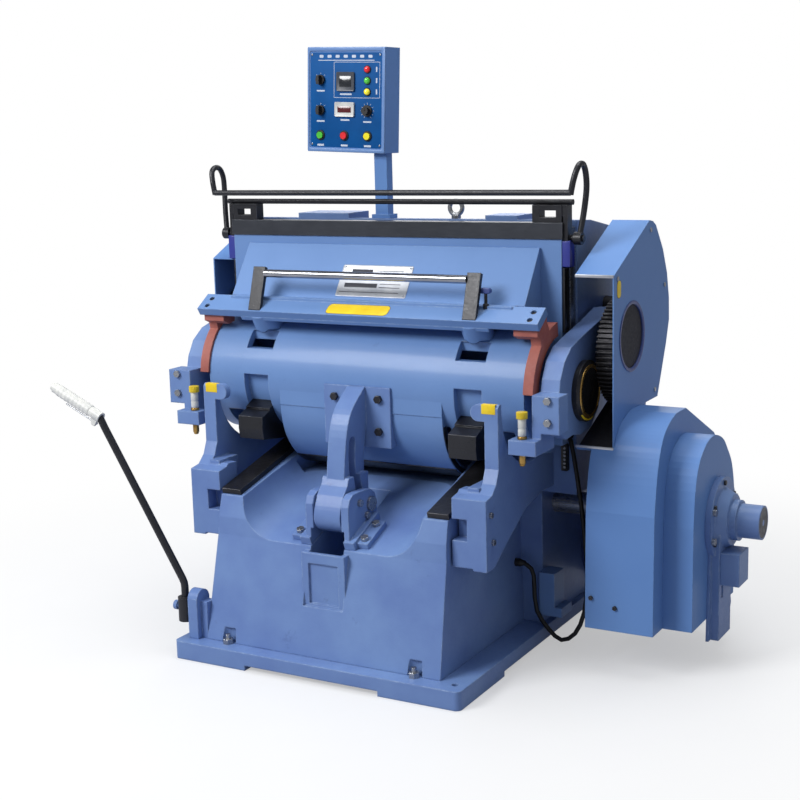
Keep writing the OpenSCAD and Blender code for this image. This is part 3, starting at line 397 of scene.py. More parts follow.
CHROME = Finish(
    "chrome_rod", (168, 170, 176), (140, 143, 150), 0.16, 0.06, metallic=1.0, patch_scale=8.0,
    grain_scale=300.0, grain_depth=0.00005, stretch=(0.1, 1.0, 1.0))
RED_OXIDE = Finish(
    "red_oxide", (176, 104, 92), (148, 80, 72), 0.62, 0.1, patch_scale=12.0, grain_scale=120.0,
    grain_depth=0.0006, edge_radius=0.004, edge_wear_and_highlight=(214, 140, 116), speck_colour=(96, 44, 34),
    speck_share=0.5)
BRASS = Finish(
    "brass", (196, 160, 92), (164, 126, 66), 0.3, 0.1, metallic=0.9, patch_scale=30.0, grain_scale=300.0,
    grain_depth=0.0001, edge_radius=0.001, edge_wear_and_highlight=(226, 196, 132))
BLACK_PLASTIC = Finish(
    "black_plastic", (24, 24, 26), (16, 16, 18), 0.48, 0.08, grain_scale=900.0, grain_depth=0.0001,
    edge_radius=0.0008, edge_wear_and_highlight=(60, 60, 64))
RUBBER = Finish(
    "rubber_jacket", (20, 20, 23), (12, 12, 14), 0.6, 0.1, grain_scale=700.0, grain_depth=0.0001)
WHITE_PLASTIC = Finish(
    "white_plastic", (226, 226, 220), (198, 200, 198), 0.42, 0.1, patch_scale=40.0, grain_scale=600.0,
    grain_depth=0.0001, edge_radius=0.001, edge_wear_and_highlight=(240, 240, 236), speck_colour=(120, 130, 160),
    speck_share=0.35)
YELLOW_PLASTIC = Finish(
    "yellow_plastic", (232, 204, 44), (206, 176, 30), 0.35, 0.08, patch_scale=30.0, grain_scale=500.0,
    grain_depth=0.0001, edge_radius=0.001, edge_wear_and_highlight=(244, 226, 110))
YELLOW_FILM = Finish(
    "yellow_film", (244, 214, 40), (232, 196, 26), 0.4, 0.08, patch_scale=25.0, grain_scale=420.0,
    grain_depth=0.00005, speck_colour=(190, 150, 30))
BROWN_FILM = Finish(
    "brown_film", (96, 70, 30), (80, 56, 24), 0.5, 0.08, grain_scale=420.0, grain_depth=0.00005)
PLATE_METAL = Finish(
    "plate_metal", (196, 199, 204), (172, 176, 184), 0.34, 0.08, metallic=0.75, patch_scale=18.0,
    grain_scale=500.0, grain_depth=0.00008, stretch=(0.1, 1.0, 1.0), speck_colour=(120, 124, 134))
PLATE_DARK = Finish(
    "plate_field", (66, 68, 76), (50, 52, 60), 0.45, 0.08, metallic=0.3, grain_scale=500.0,
    grain_depth=0.00005)
PANEL_BLUE = Finish(
    "panel_foil", (4, 84, 150), (2, 74, 136), 0.55, 0.05, specular=0.12, patch_scale=10.0,
    grain_scale=800.0, grain_depth=0.00004)
PANEL_INK = Finish(
    "panel_ink", (206, 214, 226), (188, 198, 214), 0.5, 0.05, grain_scale=800.0, grain_depth=0.00003)
BEZEL_GREY = Finish(
    "bezel_grey", (74, 78, 86), (58, 62, 70), 0.42, 0.08, grain_scale=900.0, grain_depth=0.00005,
    edge_radius=0.0006, edge_wear_and_highlight=(120, 124, 132))
WINDOW_DARK = Finish(
    "dark_window", (36, 40, 46), (26, 30, 34), 0.12, 0.04, coat=0.6, grain_scale=300.0,
    grain_depth=0.00002)
WINDOW_RED = Glow(
    "counter_window", (92, 20, 26), (64, 10, 16), 0.15, grain_scale=300.0, grain_depth=0.00002,
    strength=0.1)
BLUE_VIOLET = Finish(
    "switch_housing", (44, 56, 150), (34, 42, 124), 0.4, 0.08, coat=0.2, grain_scale=400.0,
    grain_depth=0.0001, edge_radius=0.0015, edge_wear_and_highlight=(84, 98, 190))
# Finish of the thin shell that darkens the inside of the right gear cover.
DARK_SHELL = Finish(
    "dark_shell_finish", (34, 34, 46), (22, 22, 32), 0.7, 0.1, patch_scale=6.0, grain_scale=120.0,
    grain_depth=0.0005, speck_colour=(14, 12, 14), speck_share=0.5)
GREEN_CAP = Cap("green_cap", (84, 200, 62), (66, 178, 50))
RED_CAP = Cap("red_cap", (238, 40, 50), (216, 28, 38))
YELLOW_CAP = Cap("yellow_cap", (252, 240, 44), (240, 222, 30))
LENS_RED = Glow("red_lens", (228, 28, 34), (206, 20, 26))
LENS_GREEN = Glow("green_lens", (84, 196, 60), (66, 172, 50))
LENS_YELLOW = Glow("yellow_lens", (252, 236, 40), (240, 216, 30))

NODE_FINISHES: dict[Finish, tuple[str, ...]] = {
    PAINT: ("platen_plate", "back_panel", "barrel", "cross_beam", "junction_box"),
    CAST_PAINT: (
        "plinth", "base_casting", "main_body", "guide_bracket_left", "guide_bracket_right", "clevises",
        "guide_arm", "drawbar_left", "drawbar_right", "outboard_bearing", "brush_box", "lever_bracket"),
    SHEET_PAINT: (
        "gear_cover_right", "gear_cover_left", "flywheel_cover", "clutch_cover", "control_box",
        "control_post"),
    DEEP_PAINT: ("motor", "flywheel"),
    BLACK_STEEL: (
        "rod_brackets", "guard_mounts", "guard_frame", "hand_lever", "bearing_caps", "rocker_shoes"),
    OILED_IRON: (
        "rocker_rails", "bull_gear_right", "bull_gear_left", "pinion_shaft", "counter_shaft",
        "motor_pulley", "die_chase", "platen_bolts"),
    STRIP_STEEL: ("platen_strip",),
    GROUND_STEEL: (
        "bed_plate", "guide_pin", "fixed_bolts", "drawbar_bolts", "barrel_shaft", "flywheel_shaft",
        "lever_trigger"),
    CHROME: ("cross_rod",),
    RED_OXIDE: ("beam_supports",),
    BRASS: ("oilers",),
    WHITE_PLASTIC: ("lever_grip",),
    RUBBER: ("cable", "cable_gland"),
    BLACK_PLASTIC: ("selector_upper", "selector_lower", "rotary_knob"),
    LENS_RED: ("lamps",),
    GREEN_CAP: ("button_green",),
    RED_CAP: ("button_red",),
    YELLOW_CAP: ("button_yellow",),
}

ROUNDED_NODES: dict[str, float] = {
    "guide_arm": 7.0, "clevises": 4.0, "guide_bracket_left": 4.0, "guide_bracket_right": 4.0,
    "cross_beam": 2.5, "beam_supports": 3.0, "rocker_shoes": 4.0, "drawbar_left": 3.0,
    "drawbar_right": 3.0, "brush_box": 3.0, "control_box": 3.0, "lever_bracket": 3.0,
    "rod_brackets": 2.0,
}
ROUNDED_ANGLE = 38.0
ROUNDED_SEGMENTS = 2


# ---- modelling ----


@dataclass(frozen=True)
class Rounding:
    """How the edges of a piece are rounded: width in millimetres, faces, least angle in degrees."""

    width: float
    segments: int = 2
    angle: float = SHARP_ANGLE


HEAD_EDGE = Rounding(0.2, 1)


class Bench:
    """Makes and shapes one mesh at a time with the modelling operators."""

    @staticmethod
    def clear() -> None:
        """Leaves edit mode and deselects everything."""
        if bpy.context.object and bpy.context.object.mode != "OBJECT":
            bpy.ops.object.mode_set(mode="OBJECT")
        bpy.ops.object.select_all(action="DESELECT")

    @staticmethod
    def pick(obj: Piece) -> None:
        """Makes one object the only selected and the active one.

        Args:
            obj: The object.
        """
        Bench.clear()
        obj.select_set(True)
        bpy.context.view_layer.objects.active = obj

    @staticmethod
    def edit(obj: Piece) -> None:
        """Opens one object in edit mode with all of it selected.

        Args:
            obj: The object.
        """
        Bench.pick(obj)
        bpy.ops.object.mode_set(mode="EDIT")
        bpy.ops.mesh.select_all(action="SELECT")

    @staticmethod
    def edit_faces(obj: Piece, wanted: Callable[[bpy.types.MeshPolygon], bool]) -> None:
        """Opens one object in edit mode with some of its faces selected.

        Args:
            obj: The object.
            wanted: Says whether a face is selected.
        """
        Bench.edit(obj)
        bpy.ops.mesh.select_all(action="DESELECT")
        bpy.ops.object.mode_set(mode="OBJECT")
        for face in obj.data.polygons:
            face.select = wanted(face)
        bpy.ops.object.mode_set(mode="EDIT")

    @staticmethod
    def close(merge: float = MERGE_GAP) -> None:
        """Merges doubles, turns the faces outwards and leaves edit mode.

        Args:
            merge: The distance within which corners merge, in metres.
        """
        bpy.ops.mesh.select_all(action="SELECT")
        bpy.ops.mesh.remove_doubles(threshold=merge)
        bpy.ops.mesh.dissolve_degenerate(threshold=merge)
        bpy.ops.mesh.select_all(action="SELECT")
        bpy.ops.mesh.normals_make_consistent(inside=False)
        bpy.ops.object.mode_set(mode="OBJECT")

    @staticmethod
    def modify(obj: Piece, kind: str, **settings: object) -> None:
        """Shapes an object with a modifier and applies it.

        Args:
            obj: The object.
            kind: The modifier's type.
            **settings: Properties of the modifier.
        """
        Bench.pick(obj)
        modifier = obj.modifiers.new(kind, kind)
        for key, value in settings.items():
            setattr(modifier, key, value)
        bpy.ops.object.modifier_apply(modifier=modifier.name)

    @staticmethod
    def loop(name: str, points: Sequence[Vector], filled: bool) -> Piece:
        """Draws a closed loop through given points.

        Args:
            name: The object's name.
            points: The loop's corners in metres.
            filled: Whether one face fills the loop.

        Returns:
            The new object.
        """
        Bench.clear()
        fill = "NGON" if filled else "NOTHING"
        bpy.ops.mesh.primitive_circle_add(vertices=len(points), radius=1.0, fill_type=fill)
        obj = bpy.context.object
        obj.name = name
        for vertex, point in zip(obj.data.vertices, points):
            vertex.co = point
        return obj

    @staticmethod
    def prism(name: str, outline: Sequence[Flat], axis: Axis, low: float, high: float) -> Piece:
        """Extrudes an outline in millimetres along an axis.

        Args:
            name: The object's name.
            outline: Corners in the plane across the axis, in millimetres.
            axis: The direction of the extrusion.
            low: Where it starts, in millimetres.
            high: Where it ends, in millimetres.

        Returns:
            The new object in metres, in the outline's own frame.
        """
        obj = Bench.loop(name, [axis.place(low, *p) * MILLI for p in outline], True)
        Bench.edit(obj)
        step = axis.place((high - low) * MILLI)
        bpy.ops.mesh.extrude_region_move(TRANSFORM_OT_translate={"value": step})
        Bench.close()
        return obj

    @staticmethod
    def turned(name: str, profile: Sequence[Flat], axis: Axis, centre: Vector, steps: int) -> Piece:
        """Turns a closed profile round an axis.

        Args:
            name: The object's name.
            profile: Corners as (radius, distance along the axis), in millimetres.
            axis: The axis of the turning.
            centre: The point of the axis where the distance is zero, in metres.
            steps: How many steps the full turn has.

        Returns:
            The new object.
        """
        obj = Bench.loop(name, [axis.place(d, r) * MILLI + centre for r, d in profile], False)
        Bench.edit(obj)
        bpy.ops.mesh.spin(steps=steps, angle=math.tau, center=centre, axis=axis.place(1.0))
        Bench.close(SPIN_MERGE_GAP)
        return obj

    @staticmethod
    def soften(obj: Piece, rounding: Rounding) -> None:
        """Rounds an object's sharp edges and smooths the rest.

        Args:
            obj: The object.
            rounding: How its edges are rounded.
        """
        angle = math.radians(rounding.angle)
        Bench.modify(
            obj, "BEVEL", width=rounding.width * MILLI, segments=rounding.segments, limit_method="ANGLE",
            angle_limit=angle)
        bpy.ops.object.shade_smooth_by_angle(angle=angle)

    @staticmethod
    def inset_face(obj: Piece, normal: Vector, width: float, depth: float) -> None:
        """Insets the faces that look along a direction and pushes them in or out.

        Args:
            obj: The object.
            normal: The direction of the faces.
            width: The inset in millimetres.
            depth: How far the inset faces move along their normal, in millimetres.
        """
        Bench.edit_faces(obj, lambda face: face.normal.dot(normal) > FACE_MATCH)
        bpy.ops.mesh.select_mode(type="FACE")
        bpy.ops.mesh.inset(thickness=width * MILLI, depth=depth * MILLI)
        bpy.ops.mesh.select_mode(type="VERT")
        Bench.close()

    @staticmethod
    def join(name: str, parts: Sequence[Piece]) -> Piece:
        """Joins several objects into one.

        Args:
            name: The name of the result.
            parts: The objects.

        Returns:
            The joined object.
        """
        Bench.clear()
        for part in parts:
            part.select_set(True)
        bpy.context.view_layer.objects.active = parts[0]
        bpy.ops.object.join()
        parts[0].name = name
        return parts[0]

    @staticmethod
    def settle(obj: Piece, matrix: Matrix | None = None) -> Piece:
        """Puts an object's place into its mesh.

        Args:
            obj: The object.
            matrix: A further move of the mesh, if any.

        Returns:
            The same object at the origin.
        """
        Bench.pick(obj)
        bpy.ops.object.transform_apply(location=True, rotation=True, scale=True)
        if matrix is not None:
            obj.data.transform(matrix)
        return obj

    @staticmethod
    def copied(obj: Piece, name: str) -> Piece:
        """Copies an object together with its mesh.

        Args:
            obj: The object.
            name: The copy's name.

        Returns:
            The copy.
        """
        copy = obj.copy()
        copy.data = obj.data.copy()
        copy.name = name
        bpy.context.scene.collection.objects.link(copy)
        return copy

    @staticmethod
    def mirror(obj: Piece) -> Piece:
        """Moves an object to the other side of the machine.

        Args:
            obj: The object.

        Returns:
            The same object.
        """
        obj.data.transform(Matrix.Scale(-1.0, 4, Axis.X.place(1.0)))
        Bench.edit(obj)
        Bench.close()
        return obj


def dress(obj: Piece, finish: Finish, body: Body) -> Piece:
    """Gives a new piece its finish and its body.

    Args:
        obj: The piece, with its place in its mesh.
        finish: Its finish.
        body: The body that it rides on.

    Returns:
        The same piece.
    """
    obj.data.materials.clear()
    obj.data.materials.append(finish.material())
    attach(obj, body.value)
    LOG.info("%s: %d faces, rides on %s", obj.name, len(obj.data.polygons), body.value)
    return obj


def shape(obj: Piece, rounding: Rounding | None, matrix: Matrix | None = None) -> Piece:
    """Rounds a piece's edges, if that is asked for, and puts its place into its mesh.

    Args:
        obj: The piece.
        rounding: How its edges are rounded, if they are.
        matrix: A further move of the mesh, if any.

    Returns:
        The same piece.
    """
    if rounding:
        Bench.soften(obj, rounding)
    return Bench.settle(obj, matrix)


def complete(
    obj: Piece,
    finish: Finish,
    body: Body,
    rounding: Rounding | None = None,
    matrix: Matrix | None = None,
) -> Piece:
    """Rounds a new piece, puts its place into its mesh and dresses it."""
    return dress(shape(obj, rounding, matrix), finish, body)


def complete_pair(
    right: Piece, finish: Finish, body: Body, rounding: Rounding | None = None
) -> None:
    """Completes a piece of the right side and its mirror image on the left.

    Args:
        right: The piece, with right in its name.
        finish: Its finish.
        body: The body that both ride on.
        rounding: How its edges are rounded, if they are.
    """
    shape(right, rounding)
    left = Bench.mirror(Bench.copied(right, right.name.replace("right", "left")))
    for piece in (right, left):
        dress(piece, finish, body)


def rounded(width: float, height: float, radius: float, centre: Flat = (0.0, 0.0), steps: int = 5) -> list[Flat]:
    """Draws a rectangle with round corners.

    Args:
        width: Its width in millimetres.
        height: Its height in millimetres.
        radius: The corner radius in millimetres.
        centre: Its middle.
        steps: How many segments a corner has.

    Returns:
        The outline's corners.
    """
    made = []
    for quarter, (sx, sy) in enumerate(((1, 1), (-1, 1), (-1, -1), (1, -1))):
        cx = centre[0] + sx * (width / 2 - radius)
        cy = centre[1] + sy * (height / 2 - radius)
        for i in range(steps + 1):
            angle = math.radians(90 * (quarter + i / steps))
            made.append((cx + radius * math.cos(angle), cy + radius * math.sin(angle)))
    return made


def columns(across: Vector, up: Vector, out: Vector, origin: Vector) -> Matrix:
    """Builds the matrix of a frame from its three directions and its origin."""
    rows = [(across[i], up[i], out[i], origin[i]) for i in range(3)]
    return Matrix(rows + [(0.0, 0.0, 0.0, 1.0)])


def tilted(low: Flat, high: Flat) -> Matrix:
    """The frame of a slope that runs across the machine.

    Args:
        low: The slope's lower edge as (y, z) in millimetres.
        high: Its upper edge.

    Returns:
        The matrix that takes (across, up the slope, out of the face) to the row frame.
    """
    foot, head = at(0.0, *low), at(0.0, *high)
    across, rise = Axis.X.place(1.0), (head - foot).normalized()
    return columns(across, rise, across.cross(rise), foot)


def aimed(start: Vector, along: Vector) -> Matrix:
    """The frame that starts at a point with its Z axis along a direction."""
    return Matrix.Translation(start) @ along.to_track_quat("Z", "Y").to_matrix().to_4x4()


# ---- control box ----


@dataclass
class ControlPanel:
    """Foil, rim, displays, bezels, lenses, label bars and dial marks on the control box's face.

    Depths count from the face and are negative in front of it. Places are shares of the face,
    across from its left and down from its top. A label is given by the way to it from its
    control, as such shares, and by its size.
    """

    centre: Point = (-197.0, 645.0, 1716.0)
    lean: float = 2.5
    size: Flat = (290.0, 332.0)
    rim_radius: float = 5.0
    rim_edge: Rounding = Rounding(0.8)
    hole_size: Flat = (272.0, 308.0)
    hole_radius: float = 8.0
    rim_depth: Flat = (-2.4, -0.02)
    cut_depth: Flat = (-5.0, 5.0)
    foil_size: Flat = (266.0, 300.0)
    foil_radius: float = 6.0
    foil_centre: Flat = (-1.0, -1.0)
    foil_depth: Flat = (-0.28, -0.02)
    ink_depth: Flat = (-0.44, -0.27)
    mark_depth: Flat = (-0.42, -0.26)
    bezel_depth: Flat = (-7.0, -0.3)
    bezel_radius: float = 4.0
    bezel_inset: Flat = (3.0, -1.6)
    bezel_edge: Rounding = Rounding(0.7)
    window_depth: Flat = (-6.2, -5.3)
    window_radius: float = 1.5
    most_edge: float = 0.6
    lamp_u: float = 0.775
    lamp_v: tuple[float, ...] = (0.21, 0.315, 0.42)
    push_v: float = 0.84
    push_u: tuple[float, ...] = (0.17, 0.48, 0.78)
    selectors: Profile = ((0.17, 0.31), (0.17, 0.6))
    knob: Flat = (0.775, 0.6)
    timer: Profile = ((0.498, 0.325), (66.0, 60.0), (44.0, 34.0))
    counter: Profile = ((0.487, 0.59), (72.0, 46.0), (50.0, 20.0))
    screw_spots: Profile = ((-128.0, -142.0), (-128.0, 142.0), (126.0, -142.0), (126.0, 142.0))
    ring_steps: int = 40
    ring_edge: Rounding = Rounding(0.4, angle=40.0)
    push_ring: Profile = ((12.2, -0.3), (16.5, -0.3), (16.5, -2.6), (15.0, -4.2), (12.2, -4.2))
    lamp_ring: Profile = ((10.2, -0.3), (13.0, -0.3), (13.0, -2.0), (11.6, -3.4), (10.2, -3.4))
    lens: Profile = (
        (0.0, -0.3), (10.0, -0.3), (10.0, -4.5), (9.2, -7.5), (7.4, -9.8), (4.4, -11.4), (0.0, -12.0))
    screw: Profile = ((0.0, -0.3), (3.6, -0.3), (3.6, -1.2), (2.4, -2.0), (0.0, -2.0))
    knob_marks: tuple[float, range] = (20.0, range(-60, 241, 30))
    selector_marks: tuple[float, range] = (18.0, range(45, 136, 45))
    mark_outline: Profile = ((0.0, -0.6), (5.0, -0.6), (5.0, 0.6), (0.0, 0.6))
    tab_start: Flat = (0.18, 0.088)
    tab_pitch: float = 0.105
    tab_size: Flat = (15.0, 9.0)
    tabs: int = 7
    push_label: tuple[Flat, Flat] = ((0.0, 0.095), (26.0, 6.0))
    dial_label: tuple[Flat, Flat] = ((0.0, 0.105), (30.0, 5.0))
    timer_label: tuple[Flat, Flat] = ((0.0, 0.12), (44.0, 5.0))
    counter_label: tuple[Flat, Flat] = ((0.0, 0.1), (34.0, 5.0))
    lamp_label: tuple[Flat, Flat] = ((0.115, 0.0), (5.0, 16.0))
    lines: tuple[tuple[Flat, Flat], ...] = (
        ((0.5, 0.125), (210.0, 2.4)), ((0.345, 0.31), (1.4, 112.0)), ((0.93, 0.31), (1.4, 112.0)),
        ((0.6375, 0.478), (170.0, 1.4)), ((0.6375, 0.142), (170.0, 1.4)))
    bar_steps: int = 2

    def face(self, spot: Flat) -> Flat:
        """Turns shares of the face into millimetres to the right of and above its middle."""
        return (self.size[0] * (spot[0] - 0.5), self.size[1] * (0.5 - spot[1]))

    @property
    def matrix(self) -> Matrix:
        """Takes a point on the leaning box to the row frame."""
        return Matrix.Translation(at(*self.centre)) @ Matrix.Rotation(math.radians(self.lean), 4, "Y")

    def fix(
        self, obj: Piece, finish: Finish, rounding: Rounding | None = None
    ) -> Piece:
        """Completes a piece that was made on the upright face."""
        return complete(obj, finish, Body.FRAME, rounding, self.matrix)

    def plate(self, name: str, outline: Sequence[Flat], depth: Flat, finish: Finish) -> None:
        """Makes a flat piece on the face from its outline and the depths of its front and back."""
        obj = Bench.prism(name, outline, Axis.Y, *depth)
        self.fix(obj, finish, Rounding(min(self.most_edge, (depth[1] - depth[0]) * THIN_SHARE)))

    def ring(self, name: str, spot: Flat, profile: Profile, finish: Finish) -> Piece:
        """Turns a round piece on the face from corners given as (radius, depth)."""
        obj = Bench.turned(name, profile, Axis.Y, Axis.Y.place(0.0, *spot) * MILLI, self.ring_steps)
        return self.fix(obj, finish, self.ring_edge)

    def marks(self, name: str, spot: Flat, radius: float, angles: Iterable[float]) -> None:
        """Makes short dial marks round a knob.

        Args:
            name: The piece's name.
            spot: The knob's middle in millimetres.
            radius: The inner radius of the marks.
            angles: Their angles in degrees.
        """
        ticks = []
        for angle in angles:
            a = math.radians(angle)
            along, side = Vector((math.cos(a), math.sin(a))), Vector((-math.sin(a), math.cos(a)))
            corners = [Vector(spot) + along * (radius + u) + side * v for u, v in self.mark_outline]
            ticks.append(Bench.prism(name, [tuple(c) for c in corners], Axis.Y, *self.mark_depth))
        self.fix(Bench.join(name, ticks), PANEL_INK)

    def display(self, name: str, sizes: Profile, bezel: Finish, window: Finish) -> None:
        """Makes a bezel with a sunk window.

        Args:
            name: The first part of the pieces' names.
            sizes: The display's place, the size of its bezel and the size of its window.
            bezel: The bezel's finish.
            window: The window's finish.
        """
        spot, outer, inner = sizes
        centre = self.face(spot)
        obj = Bench.prism(name + "_bezel", rounded(*outer, self.bezel_radius, centre), Axis.Y, *self.bezel_depth)
        Bench.inset_face(obj, Axis.Y.place(-1.0), *self.bezel_inset)
        self.fix(obj, bezel, self.bezel_edge)
        outline = rounded(*inner, self.window_radius, centre)
        self.plate(name + "_window", outline, self.window_depth, window)

    def rim(self) -> None:
        """Makes the raised rim round the foil."""
        obj = Bench.prism("door_rim", rounded(*self.size, self.rim_radius), Axis.Y, *self.rim_depth)
        inner = rounded(*self.hole_size, self.hole_radius, self.foil_centre)
        hole = Bench.prism("rim_cut", inner, Axis.Y, *self.cut_depth)
        Bench.modify(obj, "BOOLEAN", object=hole, operation="DIFFERENCE")
        bpy.data.objects.remove(hole)
        self.fix(obj, PAINT, self.rim_edge)

    def lamps(self) -> None:
        """Makes the three lenses with their rings, which stand for the plain lamps."""
        looks = (LENS_RED, LENS_GREEN, LENS_YELLOW)
        for name, v, finish in zip(("red", "green", "yellow"), self.lamp_v, looks):
            spot = self.face((self.lamp_u, v))
            self.ring(f"lamp_ring_{name}", spot, self.lamp_ring, BLACK_PLASTIC)
            self.ring(f"lens_{name}", spot, self.lens, finish)
        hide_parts("lamps")

    def label_bars(self) -> None:
        """Makes the bare bars: a row at the top, one by each control, and the thin lines."""
        first, v = self.tab_start
        spots = [((first + self.tab_pitch * i, v), self.tab_size) for i in range(self.tabs)]
        for controls, ((right, down), size) in (
            ([(u, self.push_v) for u in self.push_u], self.push_label),
            ([*self.selectors, self.knob], self.dial_label),
            ([self.timer[0]], self.timer_label),
            ([self.counter[0]], self.counter_label),
            ([(self.lamp_u, v) for v in self.lamp_v], self.lamp_label),
        ):
            spots += [((u + right, v + down), size) for u, v in controls]
        bars = []
        for spot, (width, height) in (*spots, *self.lines):
            radius = min(width, height) * THIN_SHARE
            outline = rounded(width, height, radius, self.face(spot), self.bar_steps)
            bars.append(Bench.prism("bar", outline, Axis.Y, *self.ink_depth))
        self.fix(Bench.join("label_bars", bars), PANEL_INK)

    def build(self) -> None:
        """Builds everything on the face."""
        foil = rounded(*self.foil_size, self.foil_radius, self.foil_centre)
        self.plate("panel_foil", foil, self.foil_depth, PANEL_BLUE)
        self.rim()
        self.display("timer", self.timer, BEZEL_GREY, WINDOW_DARK)
        self.display("counter", self.counter, WHITE_PLASTIC, WINDOW_RED)
        for name, u in zip(("green", "red", "yellow"), self.push_u):
            self.ring(f"bezel_{name}", self.face((u, self.push_v)), self.push_ring, BLACK_PLASTIC)
        self.lamps()
        self.marks("knob_marks", self.face(self.knob), *self.knob_marks)
        for name, spot in zip(("upper", "lower"), self.selectors):
            self.marks(f"selector_marks_{name}", self.face(spot), *self.selector_marks)
        self.label_bars()
        screws = [
            Bench.turned("screw", self.screw, Axis.Y, Axis.Y.place(0.0, *spot) * MILLI, HEAD_STEPS)
            for spot in self.screw_spots
        ]
        self.fix(Bench.join("panel_screws", screws), GROUND_STEEL, HEAD_EDGE)


# ---- plates and labels ----


@dataclass
class PlatenLabels:
    """The blank name plate on the sloping panel and the bare yellow label on the beam.

    Heights count from the slope's face.
    """

    panel_foot: Flat = (428.0, 1103.0)
    panel_head: Flat = (538.0, 1262.0)
    plate_size: Flat = (252.0, 112.0)
    plate_centre: Flat = (-6.0, 64.0)
    plate_radius: float = 5.0
    plate_height: Flat = (0.05, 1.6)
    plate_inset: Flat = (4.0, -0.5)
    plate_edge: Rounding = Rounding(0.25)
    field_radius: float = 1.5
    field_height: Flat = (1.1, 1.32)
    line_height: Flat = (1.1, 1.25)
    fields: tuple[tuple[str, Flat, Flat], ...] = (
        ("dark", (118.0, 15.0), (-44.0, -16.0)), ("head", (74.0, 13.0), (-52.0, 34.0)))
    lines: tuple[Point, ...] = (
        (48.0, 36.0, 96.0), (48.0, 20.0, 96.0), (60.0, -10.0, 74.0), (60.0, -22.0, 74.0), (-10.0, -40.0, 214.0))
    line_width: float = 2.2
    line_radius: float = 0.8
    rivet_inset: float = 8.0
    rivet: Profile = ((0.0, 1.0), (3.4, 1.0), (3.2, 2.0), (2.0, 2.9), (0.0, 3.2))
    beam_front: Flat = (338.0, 1063.0)
    beam_back: Flat = (400.0, 1104.0)
    label_size: Flat = (218.0, 44.0)
    label_centre: Flat = (-8.0, 29.0)
    label_radius: float = 14.0
    label_steps: int = 8
    border_radius: float = 15.0
    border_width: float = 1.5
    label_heights: Point = (0.05, 0.3, 0.55)

    def layer(self, name: str, outline: Sequence[Flat], height: Flat, finish: Finish, slope: Matrix) -> None:
        """Makes one flat layer on a slope from its outline and the heights of its two sides."""
        obj = Bench.prism(name, outline, Axis.Z, *height)
        complete(obj, finish, Body.PLATEN, Rounding((height[1] - height[0]) * THIN_SHARE), slope)

    def name_plate(self) -> None:
        """Builds the plate with its fields, lines and rivets."""
        panel = tilted(self.panel_foot, self.panel_head)
        cx, cy = self.plate_centre
        width, height = self.plate_size
        outline = rounded(width, height, self.plate_radius, self.plate_centre)
        obj = Bench.prism("name_plate", outline, Axis.Z, *self.plate_height)
        Bench.inset_face(obj, Axis.Z.place(1.0), *self.plate_inset)
        complete(obj, PLATE_METAL, Body.PLATEN, self.plate_edge, panel)
        for name, size, (u, v) in self.fields:
            outline = rounded(*size, self.field_radius, (cx + u, cy + v))
            self.layer(f"plate_field_{name}", outline, self.field_height, PLATE_DARK, panel)
        for i, (u, v, length) in enumerate(self.lines):
            outline = rounded(length, self.line_width, self.line_radius, (cx + u, cy + v))
            self.layer(f"plate_line_{i}", outline, self.line_height, PLATE_DARK, panel)
        reach, rise = width / 2 - self.rivet_inset, height / 2 - self.rivet_inset
        rivets = [
            Bench.turned("rivet", self.rivet, Axis.Z, Vector((cx + u, cy + v, 0.0)) * MILLI, HEAD_STEPS)
            for u in (-reach, reach) for v in (-rise, rise)
        ]
        complete(Bench.join("plate_rivets", rivets), GROUND_STEEL, Body.PLATEN, HEAD_EDGE, panel)

    def build(self) -> None:
        """Builds the name plate, and the beam's label with its border."""
        self.name_plate()
        beam = tilted(self.beam_front, self.beam_back)
        low, middle, high = self.label_heights
        wide, tall = (side + 2 * self.border_width for side in self.label_size)
        border = rounded(wide, tall, self.border_radius, self.label_centre, self.label_steps)
        self.layer("beam_label_border", border, (low, middle), BROWN_FILM, beam)
        label = rounded(*self.label_size, self.label_radius, self.label_centre, self.label_steps)
        self.layer("beam_label", label, (middle, high), YELLOW_FILM, beam)


@dataclass
class EdgePads:
    """Folded yellow pads on the guide brackets and the bare mark on the gear cover."""

    pad_x: Flat = (467.0, 511.0)
    front_y: float = 242.0
    top_z: float = 838.0
    thick: float = 0.9
    gap: float = 0.05
    fold: float = 17.0
    drop: float = 27.0
    pad_edge: Rounding = Rounding(0.35)
    mark_centre: Flat = (532.0, 1148.0)
    mark_size: Flat = (30.0, 50.0)
    mark_radius: float = 13.0
    mark_steps: int = 7
    mark_edge: Rounding = Rounding(0.07)
    mark_layers: tuple[tuple[str, float, float, float, Finish], ...] = (
        ("cover_mark_border", 3.0, 775.05, 775.3, BROWN_FILM), ("cover_mark", 0.0, 775.3, 775.55, YELLOW_FILM))

    def build(self) -> None:
        """Builds both pads and the mark."""
        y, z, t, gap = row_y(self.front_y), self.top_z, self.thick, self.gap
        section = [(y - t, z + t), (y + self.fold, z + t), (y + self.fold, z + gap), (y - gap, z + gap),
                   (y - gap, z - self.drop), (y - t, z - self.drop)]
        pad = Bench.prism("edge_pad_right", section, Axis.X, *self.pad_x)
        complete_pair(pad, YELLOW_FILM, Body.FRAME, self.pad_edge)
        centre = (row_y(self.mark_centre[0]), self.mark_centre[1])
        for name, grow, low, high, finish in self.mark_layers:
            wide, tall = (side + grow for side in self.mark_size)
            outline = rounded(wide, tall, self.mark_radius, centre, self.mark_steps)
            mark = Bench.prism(name, outline, Axis.X, low, high)
            complete(mark, finish, Body.FRAME, self.mark_edge)


# ---- drawbar fittings ----


